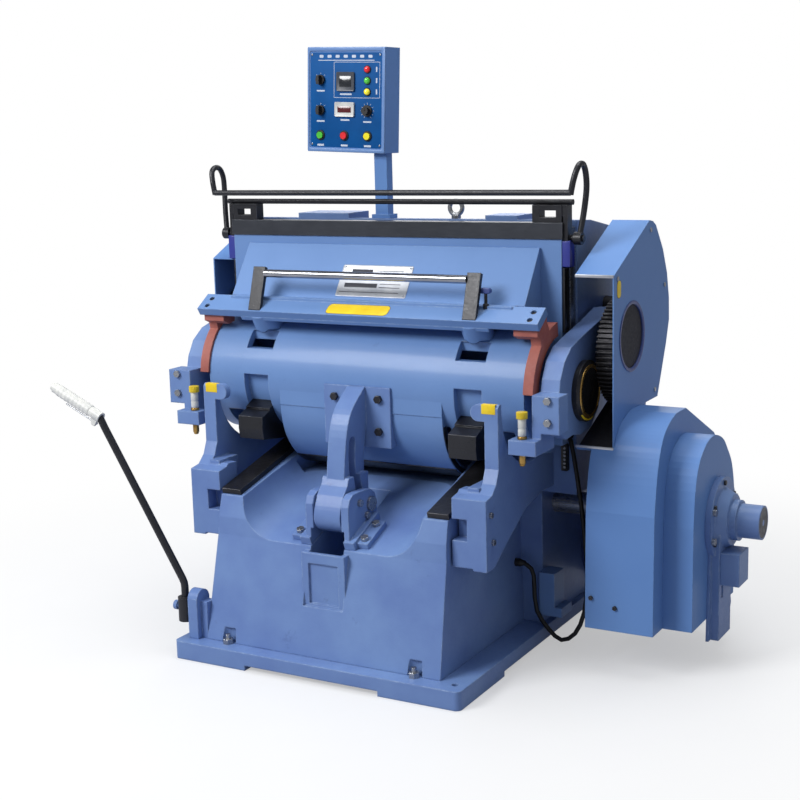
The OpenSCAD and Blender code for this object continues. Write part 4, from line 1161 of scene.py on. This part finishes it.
@dataclass
class OilCups:
    """Oil cups in the drawbar lugs: a brass stem, a white body and a yellow cap with grips."""

    place: Flat = (581.0, 272.0)
    stem: Profile = (
        (0.0, 660.5), (4.5, 660.5), (8.0, 662.5), (8.0, 667.0), (10.0, 668.0), (10.0, 696.5), (7.9, 697.0),
        (7.9, 740.0), (14.0, 740.5), (14.0, 747.0), (12.5, 748.5), (0.0, 748.5))
    body: Profile = (
        (0.0, 748.6), (10.5, 748.6), (12.0, 751.0), (12.0, 768.0), (11.0, 770.0), (11.0, 772.0),
        (12.0, 774.0), (12.0, 799.9), (0.0, 799.9))
    cap_z: Flat = (800.0, 819.5)
    cap_radii: Flat = (15.6, 17.0)
    cap_inset: Flat = (4.0, 0.4)
    grips: int = 18
    steps: int = 36
    edge: Rounding = Rounding(0.8, angle=TURNED_ANGLE)

    def cap(self, centre: Vector) -> Piece:
        """Makes the cap with its gripping ridges.

        Args:
            centre: The cup's axis at the floor.

        Returns:
            The cap.
        """
        outline = []
        for i in range(self.grips * 2):
            radius, angle = self.cap_radii[i % 2], math.tau * i / (self.grips * 2)
            outline.append((radius * math.cos(angle), radius * math.sin(angle)))
        obj = Bench.prism("oil_cap_right", outline, Axis.Z, *self.cap_z)
        obj.data.transform(Matrix.Translation(centre))
        Bench.inset_face(obj, Axis.Z.place(1.0), *self.cap_inset)
        return obj

    def build(self) -> None:
        """Builds the right cup and copies it to the left."""
        centre = at(*self.place, 0.0)
        stem = Bench.turned("oil_stem_right", self.stem, Axis.Z, centre, self.steps)
        body = Bench.turned("oil_body_right", self.body, Axis.Z, centre, self.steps)
        cap = self.cap(centre)
        complete_pair(stem, BRASS, Body.DRAWBARS, self.edge)
        complete_pair(body, WHITE_PLASTIC, Body.DRAWBARS, self.edge)
        complete_pair(cap, YELLOW_PLASTIC, Body.DRAWBARS, self.edge)
        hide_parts("oilers")


@dataclass
class BearingTrim:
    """Brass ring, dark face and oil arc on each bearing cap, and the drawbars' adjusting screws.

    Profiles count outwards from the cap's face.
    """

    centre: Flat = (530.0, 843.0)
    faces: tuple[tuple[str, float], ...] = (("right", 685.7), ("left", 672.2))
    ring: Profile = ((70.0, -2.0), (80.0, -2.0), (80.0, 1.6), (77.0, 3.4), (70.0, 3.4))
    face: Profile = (
        (0.0, -1.0), (69.7, -1.0), (69.7, 1.4), (60.0, 2.2), (56.0, 1.2), (20.0, 1.2), (16.0, 3.2), (0.0, 3.6))
    oil: Profile = ((81.0, -4.0), (88.0, -4.0), (87.0, -0.6), (82.0, -0.6))
    oil_limits: tuple[tuple[Axis, float], ...] = ((Axis.Z, -62.0), (Axis.Y, 28.0))
    steps: int = 72
    edge: Rounding = Rounding(0.5, angle=TURNED_ANGLE)
    screw_steps: int = 24
    screw_edge: Rounding = Rounding(0.8)
    screw_start: Point = (648.0, 612.0, 884.0)
    screw_end: Point = (648.0, 742.0, 947.0)
    screw: Profile = (
        (0.0, 0.0), (11.0, 0.0), (11.0, 30.0), (21.0, 31.0), (22.0, 34.0), (22.0, 50.0), (20.0, 53.0),
        (11.0, 54.0), (11.0, 84.0), (19.0, 85.0), (20.0, 88.0), (20.0, 100.0), (18.0, 103.0), (11.0, 104.0),
        (11.0, 140.0), (0.0, 140.0))

    def cap(self, side: str, face: float) -> list[Piece]:
        """Makes the trim of one cap on the right side of the machine.

        Args:
            side: The side's name.
            face: The cap's outer face, in millimetres.

        Returns:
            The ring, the face and the oil arc.
        """
        middle = at(face, *self.centre)
        parts = [
            Bench.turned(f"cap_{name}_{side}", profile, Axis.X, middle, self.steps)
            for name, profile in (("ring", self.ring), ("face", self.face), ("oil", self.oil))
        ]
        Bench.edit(parts[-1])
        for axis, limit in self.oil_limits:
            normal = axis.place(1.0)
            bpy.ops.mesh.select_all(action="SELECT")
            bpy.ops.mesh.bisect(
                plane_co=middle + normal * limit * MILLI, plane_no=normal, use_fill=True, clear_outer=True)
        Bench.close()
        return parts

    def build(self) -> None:
        """Builds both caps' trim and both screws."""
        for side, face in self.faces:
            for part, finish in zip(self.cap(side, face), (BRASS, OILED_IRON, YELLOW_PLASTIC)):
                shape(part, self.edge)
                if side == "left":
                    Bench.mirror(part)
                dress(part, finish, Body.DRAWBARS)
        start, end = at(*self.screw_start), at(*self.screw_end)
        right = Bench.turned("adjusting_screw_right", self.screw, Axis.Z, Vector(), self.screw_steps)
        shape(right, self.screw_edge, aimed(start, end - start))
        complete_pair(right, OILED_IRON, Body.DRAWBARS)


# ---- fittings at the platen's ends ----


@dataclass
class EndFittings:
    """Switch housings and dark edge strips at the platen's ends, and the small clamp knob."""

    inner: float = 590.3
    outer: float = 616.0
    strip_thick: float = 8.0
    strip_inset: float = 2.0
    depth: Flat = (548.0, 584.0)
    switch_z: Flat = (1206.0, 1284.0)
    strip_z: Flat = (1010.0, 1202.0)
    switch_corner: float = 4.0
    strip_corner: float = 2.0
    switch_face: Flat = (4.0, -1.5)
    strip_face: Flat = (5.0, -3.0)
    switch_edge: Rounding = Rounding(1.0)
    strip_edge: Rounding = Rounding(0.8)
    knob_place: Point = (414.0, 392.0, 1100.0)
    knob_size: Flat = (34.0, 17.0)
    knob_half_depth: float = 8.0
    knob_rise: float = 48.0
    knob_radius: float = 7.0
    knob_edge: Rounding = Rounding(2.4, 3)
    stem_steps: int = 28
    stem_edge: Rounding = Rounding(0.8, angle=TURNED_ANGLE)
    stem: Profile = ((0.0, -6.0), (9.0, -6.0), (9.0, 8.0), (5.0, 10.0), (5.0, 40.0), (0.0, 40.0))

    def block(self, name: str, z: Flat, outer: float, trim: float, radius: float, inset: Flat) -> Piece:
        """Makes one block at the right end with a sunk outer face.

        Args:
            name: The piece's name.
            z: Its lower and upper end.
            outer: Its outer face.
            trim: How much less deep it is than the housings.
            radius: Its corner radius.
            inset: The width of the border and the step of the sunk face.

        Returns:
            The block.
        """
        front, back = (row_y(d) for d in self.depth)
        middle = ((front + back) / 2, (z[0] + z[1]) / 2)
        outline = rounded(back - front - trim, z[1] - z[0], radius, middle)
        obj = Bench.prism(name, outline, Axis.X, self.inner, outer)
        Bench.inset_face(obj, Axis.X.place(1.0), *inset)
        return obj

    def knob(self) -> None:
        """Builds the blue clamp knob on its stem."""
        x, y, z = self.knob_place
        stem = Bench.turned("knob_stem", self.stem, Axis.Z, at(x, y, z), self.stem_steps)
        complete(stem, BLACK_STEEL, Body.PLATEN, self.stem_edge)
        outline = rounded(*self.knob_size, self.knob_radius, (x, z + self.knob_rise))
        head = Bench.prism("knob_head", outline, Axis.Y, row_y(y) - self.knob_half_depth,
                           row_y(y) + self.knob_half_depth)
        complete(head, DEEP_PAINT, Body.PLATEN, self.knob_edge)

    def build(self) -> None:
        """Builds the fittings on both ends and the knob."""
        housing = self.block(
            "switch_housing_right", self.switch_z, self.outer, 0.0, self.switch_corner, self.switch_face)
        strip = self.block(
            "edge_strip_right", self.strip_z, self.inner + self.strip_thick, 2 * self.strip_inset,
            self.strip_corner, self.strip_face)
        complete_pair(housing, BLUE_VIOLET, Body.PLATEN, self.switch_edge)
        complete_pair(strip, BLACK_STEEL, Body.PLATEN, self.strip_edge)
        self.knob()


# ---- gear cover and belts ----


@dataclass
class CoverMouth:
    """A dark shell that darkens the inside of the right gear cover, the flanges at its mouth and the rim of its
    hole.
    """

    shell_x: Flat = (656.0, 770.6)
    shell_thick: float = 0.8
    mouth_y: float = 492.0
    flange_x: Flat = (655.5, 774.5)
    flange_depth: float = 4.0
    flange_edge: Rounding = Rounding(0.9)
    flanges: tuple[tuple[str, float, float], ...] = (("top", 1184.0, 1193.0), ("bottom", 678.0, 686.0))
    face_x: float = 775.0
    hole: Flat = (641.0, 996.0)
    rim_steps: int = 96
    rim_edge: Rounding = Rounding(0.5, angle=TURNED_ANGLE)
    rim: Profile = (
        (97.8, -6.0), (99.0, 0.05), (107.0, 0.05), (107.0, 1.4), (105.5, 2.6), (98.5, 2.6), (95.6, 0.6),
        (95.6, -6.0))
    outline: Profile = (
        (493.0, 683.0), (506.0, 674.2), (766.5, 778.5), (869.0, 779.6), (945.0, 934.4), (972.0, 1005.0),
        (969.0, 1074.0), (949.7, 1152.5), (910.3, 1228.2), (845.2, 1305.8), (819.5, 1319.0), (792.0, 1324.0),
        (493.0, 1186.5))

    def inside_shell(self) -> None:
        """Builds a thin dark shell inside the cover, open at the mouth and towards the gear, which darkens the
        cover's inside.
        """
        outline = [(row_y(y), z) for y, z in self.outline]
        obj = Bench.prism("cover_dark_shell", outline, Axis.X, *self.shell_x)
        mouth = outline[0][0] * MILLI
        Bench.edit_faces(obj, lambda f: abs(f.center.y - mouth) < SPIN_MERGE_GAP or f.normal.x < -FACE_MATCH)
        bpy.ops.mesh.delete(type="FACE")
        Bench.modify(obj, "SOLIDIFY", thickness=self.shell_thick * MILLI, offset=-1.0)
        complete(obj, DARK_SHELL, Body.FRAME)

    def build(self) -> None:
        """Builds the dark shell, the two flanges and the rolled rim of the round hole."""
        self.inside_shell()
        front = row_y(self.mouth_y)
        back = front - self.flange_depth
        for name, low, high in self.flanges:
            corners = [(back, low), (front, low), (front, high), (back, high)]
            flange = Bench.prism(f"mouth_flange_{name}", corners, Axis.X, *self.flange_x)
            complete(flange, PLATE_METAL, Body.FRAME, self.flange_edge)
        rim = Bench.turned("hole_rim", self.rim, Axis.X, at(self.face_x, *self.hole), self.rim_steps)
        complete(rim, DEEP_PAINT, Body.FRAME, self.rim_edge)


@dataclass
class BeltDrive:
    """Three belts from the motor's pulley to the flywheel's hub."""

    wheel: Flat = (755.0, 433.0)
    wheel_radius: float = 236.5
    pulley: Flat = (1080.0, 215.0)
    pulley_radius: float = 54.5
    thick: float = 8.0
    half_width: float = 3.9
    tracks: Point = (872.0, 886.0, 900.0)
    steps: int = 40
    edge: Rounding = Rounding(1.0, angle=50.0)

    def path(self) -> Profile:
        """The belt's outline round both wheels.

        Returns:
            The closed outline as (y, z).
        """
        dy, dz = self.pulley[0] - self.wheel[0], self.pulley[1] - self.wheel[1]
        line = math.atan2(dz, dy)
        open_angle = math.acos((self.wheel_radius - self.pulley_radius) / math.hypot(dy, dz))
        made = []
        for (cy, cz), radius, start, sweep in (
            (self.wheel, self.wheel_radius, line + open_angle, math.tau - 2 * open_angle),
            (self.pulley, self.pulley_radius, line - open_angle, 2 * open_angle),
        ):
            for i in range(self.steps + 1):
                a = start + sweep * i / self.steps
                made.append((cy + radius * math.cos(a), cz + radius * math.sin(a)))
        return tuple(made)

    def build(self) -> None:
        """Builds one belt as a loop with walls and copies it to the other tracks."""
        obj = Bench.loop("belt_0", [at(self.tracks[0] - self.half_width, *p) for p in self.path()], False)
        Bench.edit(obj)
        step = Axis.X.place(2 * self.half_width * MILLI)
        bpy.ops.mesh.extrude_region_move(TRANSFORM_OT_translate={"value": step})
        bpy.ops.mesh.select_all(action="SELECT")
        bpy.ops.mesh.normals_make_consistent(inside=False)
        Bench.modify(obj, "SOLIDIFY", thickness=self.thick * MILLI, offset=-1.0)
        shape(obj, self.edge)
        for i, track in enumerate(self.tracks[1:], 1):
            copy = Bench.copied(obj, f"belt_{i}")
            copy.data.transform(Matrix.Translation(Axis.X.place((track - self.tracks[0]) * MILLI)))
            dress(copy, RUBBER, Body.FRAME)
        dress(obj, RUBBER, Body.FRAME)


# ---- painted shade band under the barrel, small fittings on the frame ----


@dataclass
class BellyShadeBand:
    """A black band along the bottom of the barrel's belly and up both of its ends: painted shade for the
    shadowed gap under the barrel.
    """

    centre: Flat = (562.0, 768.0)
    radius: float = 225.0
    half_length: float = 290.0
    gap: float = 0.1
    band: tuple[Flat, Flat] = ((0.1, 2.6), (-128.0, -84.0))
    ends: tuple[Flat, Flat] = ((-18.0, -2.0), (-172.0, -106.0))
    end_width: float = 2.5
    steps: int = 26
    edge: Rounding = Rounding(0.7, angle=40.0)

    def strip(self, name: str, sides: Flat, section: tuple[Flat, Flat]) -> None:
        """Makes one bent strip.

        Args:
            name: The piece's name.
            sides: Its left and right side in millimetres.
            section: Its inner and outer radius from the belly's face, and the angles in degrees
                between which it runs.
        """
        (inner, outer), (start, end) = section
        turns = [math.radians(start + (end - start) * i / self.steps) for i in range(self.steps + 1)]
        cy, cz = row_y(self.centre[0]), self.centre[1]
        outline = [
            (cy + (self.radius + r) * math.cos(a), cz + (self.radius + r) * math.sin(a))
            for r, path in ((outer, turns), (inner, turns[::-1])) for a in path
        ]
        obj = Bench.prism(name, outline, Axis.X, *sides)
        complete(obj, BLACK_STEEL, Body.PLATEN, self.edge)

    def build(self) -> None:
        """Builds the bottom strip and both end strips of painted shade."""
        reach = self.half_length
        # Black strips that paint the shadow in the gap under the barrel.
        self.strip("belly_shade_band", (-reach, reach), self.band)
        near, far = reach + self.gap, reach + self.end_width
        self.strip("belly_edge_left", (-far, -near), self.ends)
        self.strip("belly_edge_right", (near, far), self.ends)


@dataclass
class FrameFittings:
    """Terminal strip, cover screws, bearing bolts, shaft end disc and cable reliefs."""

    strip_box: tuple[Point, Point] = ((551.0, 625.0, 566.0), (573.0, 639.7, 650.0))
    strip_corner: float = 3.0
    strip_border: float = 3.5
    strip_edge: Rounding = Rounding(0.8)
    terminals: int = 6
    terminal_steps: int = 18
    terminal_pitch: float = 12.0
    terminal_sink: float = 2.0
    terminal: Profile = ((0.0, 0.0), (4.2, 0.0), (4.0, -2.2), (1.4, -2.6), (0.0, -1.4))
    cover_front: float = 435.6
    cover_screws: Profile = ((725.0, 236.0), (800.0, 214.0))
    socket_steps: int = 28
    socket_edge: Rounding = Rounding(0.4, 1)
    socket_head: Profile = (
        (0.0, 0.3), (7.0, 0.3), (7.0, -4.6), (6.2, -5.6), (3.6, -5.6), (3.4, -2.6), (0.0, -2.6))
    bearing: Flat = (755.0, 433.0)
    bolt_x: Flat = (1029.1, 1036.0)
    bolt_circle: float = 112.0
    bolt_radius: float = 8.5
    bolt_sides: int = 6
    bolts: int = 6
    bolt_start: float = 30.0
    bolt_edge: Rounding = Rounding(1.0)
    disc_x: float = 1150.2
    disc_steps: int = 64
    disc: Profile = (
        (0.0, -0.4), (47.0, -0.4), (47.0, -0.1), (44.0, -0.05), (40.0, -0.15), (10.0, -0.15), (8.0, -0.35),
        (0.0, -0.35))
    reliefs: tuple[tuple[Axis, float, Point], ...] = (
        (Axis.X, 1.0, (420.2, 595.0, 262.0)), (Axis.Y, -1.0, (576.0, 631.8, 678.0)))
    relief_steps: int = 32
    relief_edge: Rounding = Rounding(0.3, 1, TURNED_ANGLE)
    relief: Profile = (
        (7.1, 0.0), (12.0, 0.0), (12.0, 4.0), (10.6, 6.0), (10.6, 8.0), (9.8, 9.0), (9.8, 11.0), (9.0, 12.0),
        (8.2, 20.0), (7.1, 20.0))

    @staticmethod
    def ringed(centre: Flat, radius: float, count: int, start: float = 0.0) -> list[Flat]:
        """Spaces points evenly on a circle.

        Args:
            centre: The circle's centre.
            radius: Its radius.
            count: How many points there are.
            start: The angle of the first, in degrees.

        Returns:
            The points.
        """
        turns = [math.radians(start + 360 / count * i) for i in range(count)]
        return [(centre[0] + radius * math.cos(a), centre[1] + radius * math.sin(a)) for a in turns]

    def terminal_strip(self) -> None:
        """Builds the black strip with its row of terminal screws."""
        (x0, y0, z0), (x1, y1, z1) = self.strip_box
        middle = ((x0 + x1) / 2, (z0 + z1) / 2)
        outline = rounded(x1 - x0, z1 - z0, self.strip_corner, middle)
        obj = Bench.prism("terminal_strip", outline, Axis.Y, row_y(y0), row_y(y1))
        Bench.inset_face(obj, Axis.Y.place(-1.0), self.strip_border, -self.terminal_sink)
        complete(obj, BLACK_PLASTIC, Body.FRAME, self.strip_edge)
        heads = [
            Bench.turned(
                "head", self.terminal, Axis.Y,
                at(middle[0], y0 + self.terminal_sink, z0 + self.terminal_pitch * i), self.terminal_steps)
            for i in range(1, self.terminals + 1)
        ]
        complete(Bench.join("terminal_screws", heads), GROUND_STEEL, Body.FRAME)

    def iron_heads(self) -> None:
        """Builds the screws low on the flywheel cover and the bolts round the outboard bearing."""
        heads = [
            Bench.turned("head", self.socket_head, Axis.Y, at(x, self.cover_front, z), self.socket_steps)
            for x, z in self.cover_screws
        ]
        complete(Bench.join("cover_screws", heads), OILED_IRON, Body.FRAME, self.socket_edge)
        centre = (row_y(self.bearing[0]), self.bearing[1])
        heads = [
            Bench.prism("head", self.ringed(spot, self.bolt_radius, self.bolt_sides), Axis.X, *self.bolt_x)
            for spot in self.ringed(centre, self.bolt_circle, self.bolts, self.bolt_start)
        ]
        complete(Bench.join("bearing_bolts", heads), OILED_IRON, Body.FRAME, self.bolt_edge)

    def build(self) -> None:
        """Builds all the small fittings, and a tapered sleeve where the cable leaves each gland."""
        self.terminal_strip()
        self.iron_heads()
        place = at(self.disc_x, *self.bearing)
        disc = Bench.turned("shaft_end_disc", self.disc, Axis.X, place, self.disc_steps)
        complete(disc, OILED_IRON, Body.FRAME)
        for i, (axis, sign, spot) in enumerate(self.reliefs):
            profile = [(r, sign * d) for r, d in self.relief]
            obj = Bench.turned(f"cable_relief_{i}", profile, axis, at(*spot), self.relief_steps)
            complete(obj, RUBBER, Body.FRAME, self.relief_edge)


# ---- hand lever and cable ----


@dataclass
class GripSleeve:
    """The ribbed sleeve over the hand lever's grip."""

    start: Point = (-799.4, 66.0, 737.0)
    along: Point = (-0.908, 0.0, 0.419)
    first: float = 44.0
    ribs: int = 9
    pitch: float = 16.0
    radius: float = 17.15
    rib: Profile = ((0.9, 1.0), (1.9, 5.0), (1.9, 11.0), (0.9, 15.0))
    steps: int = 40
    edge: Rounding = Rounding(0.4, 1, 20.0)

    def build(self) -> None:
        """Turns the sleeve's profile round the grip."""
        ends = [(self.radius, self.first), (self.radius, self.first + self.ribs * self.pitch)]
        ridges = [
            (self.radius + r, self.first + i * self.pitch + d) for i in range(self.ribs) for r, d in self.rib
        ]
        obj = Bench.turned("grip_sleeve", [ends[0], *ridges, ends[1]], Axis.Z, Vector(), self.steps)
        matrix = aimed(at(*self.start), Vector(self.along))
        complete(obj, WHITE_PLASTIC, Body.LEVER, self.edge, matrix)


@dataclass
class MotorCable:
    """The cable from the base's gland to the gland in the body."""

    radius: float = 7.0
    roundness: int = 5
    route: tuple[Point, ...] = (
        (420, 595, 262), (442, 595, 259), (460, 596, 247), (468, 597, 225), (469, 598, 190), (470, 599, 150),
        (477, 600, 108), (494, 600, 80), (516, 600, 54), (538, 600, 34), (560, 600, 24), (584, 600, 32),
        (606, 600, 52), (624, 600, 84), (637, 601, 126), (644, 602, 175), (646, 603, 230), (643, 604, 300),
        (636, 605, 380), (627, 606, 460), (616, 607, 530), (606, 608, 590), (597, 611, 634), (588, 617, 662),
        (580, 624, 675), (576, 632, 678))

    def build(self) -> None:
        points = [at(*p) for p in self.route]
        data = bpy.data.curves.new("motor_cable", "CURVE")
        data.dimensions = "3D"
        data.bevel_depth = self.radius * MILLI
        data.bevel_resolution = self.roundness
        data.use_fill_caps = True
        spline = data.splines.new("POLY")
        spline.points.add(len(points) - 1)
        for knot, point in zip(spline.points, points):
            knot.co = (*point, 1.0)
        spline.use_smooth = True
        data.materials.append(RUBBER.material())
        obj = stand("motor_cable", data)
        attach(obj, Body.FRAME.value)
        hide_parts("cable")


# ---- studio ----


@dataclass(frozen=True)
class Lamp:
    """A soft square light: its name, its place, the point it faces, its side and its power."""

    name: str
    place: Point
    target: Point
    side: float
    watts: float

    def build(self) -> None:
        """Adds the light to the scene."""
        data = bpy.data.lights.new(self.name, "AREA")
        data.shape = "SQUARE"
        data.size = self.side
        data.energy = self.watts
        obj = stand(self.name, data)
        obj.location = self.place
        obj.rotation_euler = (Vector(self.target) - obj.location).to_track_quat("-Z", "Y").to_euler()


@dataclass
class Studio:
    """Floor, lights, world and camera."""

    camera_place: Point = (2.2685, -4.0785, 1.6291)
    azimuth: float = 29.4
    pitch: float = 10.7
    roll: float = -1.5
    sensor: float = 36.0
    focal_pixels: float = 1449.2
    frame_pixels: float = 800.0
    clip: Flat = (0.05, 100.0)
    lamps: tuple[Lamp, ...] = (
        Lamp("key", (-2.6, -4.6, 4.4), (0.0, -0.2, 0.8), 2.6, 320.0),
        Lamp("fill", (5.2, -3.0, 2.6), (0.3, 0.0, 0.7), 3.0, 14.0),
        Lamp("top", (0.4, 0.4, 5.2), (0.0, 0.0, 0.6), 3.4, 140.0),
        Lamp("back", (-2.0, 5.0, 3.2), (0.0, 0.2, 0.8), 3.0, 60.0))
    floor_size: float = 60.0
    floor_z: float = -0.0005
    floor_tones: tuple[Tint, Tint] = ((0.8, 0.81, 0.83, 1.0), (0.84, 0.85, 0.865, 1.0))
    # Dark tone that the floor shows only to bounced light: painted shade on the machine's undersides.
    floor_bounce_shade: Tint = (0.34, 0.35, 0.42, 1.0)
    floor_grain: float = 4.0
    floor_gloss: Flat = (0.5, 0.3)
    floor_fade: Flat = (0.7, 2.6)
    floor_white: Flat = (0.45, 1.0)
    glossy_share: float = 0.3
    world_tint: Tint = (0.93, 0.96, 1.0, 1.0)
    world_strength: float = 0.3

    def camera(self) -> None:
        """Sets up the camera from its measured angles."""
        data = bpy.data.cameras.new("camera")
        data.sensor_width = self.sensor
        data.lens = self.sensor * self.focal_pixels / self.frame_pixels
        data.clip_start, data.clip_end = self.clip
        a, p, r = (math.radians(v) for v in (self.azimuth, self.pitch, self.roll))
        right = Vector((math.cos(a), math.sin(a), 0.0))
        ahead = Vector((-math.sin(a) * math.cos(p), math.cos(a) * math.cos(p), -math.sin(p)))
        up = right.cross(ahead)
        across, rise = right * math.cos(r) + up * math.sin(r), up * math.cos(r) - right * math.sin(r)
        obj = stand("camera", data)
        obj.matrix_world = columns(across, rise, -ahead, self.camera_place)
        bpy.context.scene.camera = obj

    def seen(self, graph: Graph) -> Socket:
        """Tells what the camera sees from the light that falls on other things.

        Args:
            graph: The graph to add to.

        Returns:
            1 for what the camera or glass shows, less in reflections, and 0 for light.
        """
        path = graph.add("LightPath")
        dim = graph.math("MULTIPLY", path.outputs["Is Glossy Ray"], self.glossy_share)
        first = graph.math("MAXIMUM", path.outputs["Is Camera Ray"], dim)
        return graph.math("MAXIMUM", first, path.outputs["Is Transmission Ray"])

    def floor(self) -> None:
        """Makes a pale floor that fades to white away from the machine, and that bounces a dark tone as painted
        shade on the machine's undersides.
        """
        Bench.clear()
        bpy.ops.mesh.primitive_plane_add(size=self.floor_size, location=(0.0, 0.0, self.floor_z))
        obj = bpy.context.object
        obj.name = "floor"
        graph = Graph(bpy.data.materials.new("pale_floor"))
        place = graph.add("TexCoord").outputs["Object"]
        reach = graph.add("VectorMath", {0: place}, operation="LENGTH").outputs["Value"]
        fade = graph.add("MapRange", {
            "Value": reach, "From Min": self.floor_fade[0], "From Max": self.floor_fade[1],
            "To Min": self.floor_white[0], "To Max": self.floor_white[1],
        }, interpolation_type="SMOOTHSTEP").outputs["Result"]
        tone = graph.blend(graph.noise(CLOUDS, place, self.floor_grain), *self.floor_tones)
        seen = self.seen(graph)
        # Bounced light takes the dark tone, which paints deeper shade under the machine. The camera sees the
        # pale tone.
        surface = graph.add("BsdfPrincipled", {
            "Base Color": graph.blend(seen, self.floor_bounce_shade, tone),
            "Roughness": self.floor_gloss[0], "Specular IOR Level": self.floor_gloss[1]})
        white = graph.add("Emission", {"Color": WHITE, "Strength": 1.0})
        share = graph.math("MULTIPLY", fade, seen)
        mixed = graph.add("MixShader", {0: share, 1: surface.outputs[0], 2: white.outputs[0]})
        graph.add("OutputMaterial", {"Surface": mixed.outputs[0]})
        obj.data.materials.append(graph.owner)

    def world(self) -> None:
        """Lights evenly from all round and shows white behind the machine."""
        graph = Graph(bpy.data.worlds.new("studio"))
        bpy.context.scene.world = graph.owner
        even = graph.add("Background", {"Color": self.world_tint, "Strength": self.world_strength})
        white = graph.add("Background", {"Color": WHITE})
        camera_ray = graph.add("LightPath").outputs["Is Camera Ray"]
        mix = graph.add("MixShader", {0: camera_ray, 1: even.outputs[0], 2: white.outputs[0]})
        graph.add("OutputWorld", {"Surface": mix.outputs[0]})

    def build(self) -> None:
        """Builds the whole studio."""
        self.camera()
        self.floor()
        self.world()
        for lamp in self.lamps:
            lamp.build()
        bpy.context.scene.view_settings.view_transform = "Standard"


def dress_nodes() -> None:
    """Gives every CAD node its finish, and rounds the edges that the drawing leaves sharp.

    Raises:
        ValueError: If a node has no finish.
    """
    left = set(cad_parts)
    for finish, names in NODE_FINISHES.items():
        for name in names:
            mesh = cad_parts[name].data
            mesh.materials.clear()
            mesh.materials.append(finish.material())
            left.discard(name)
            LOG.info("%s: %s", name, finish.name)
    if left:
        raise ValueError(f"no finish for {sorted(left)}")
    for name, width in ROUNDED_NODES.items():
        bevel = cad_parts[name].modifiers.new("round", "BEVEL")
        bevel.width = width * MILLI
        bevel.segments = ROUNDED_SEGMENTS
        bevel.limit_method = "ANGLE"
        bevel.angle_limit = math.radians(ROUNDED_ANGLE)
        bevel.use_clamp_overlap = True
        LOG.info("%s: edges rounded by %.1f mm", name, width)


def main() -> None:
    """Builds the studio, dresses the nodes and adds the new pieces."""
    logging.basicConfig(level=logging.INFO, format="%(name)s: %(message)s")
    Studio().build()
    dress_nodes()
    for maker in (
        MotorCable(), ControlPanel(), PlatenLabels(), EdgePads(), OilCups(), BearingTrim(), EndFittings(),
        CoverMouth(), BeltDrive(), BellyShadeBand(), FrameFittings(), GripSleeve(),
    ):
        LOG.info("building %s", type(maker).__name__)
        maker.build()


if __name__ == "__main__":
    main()
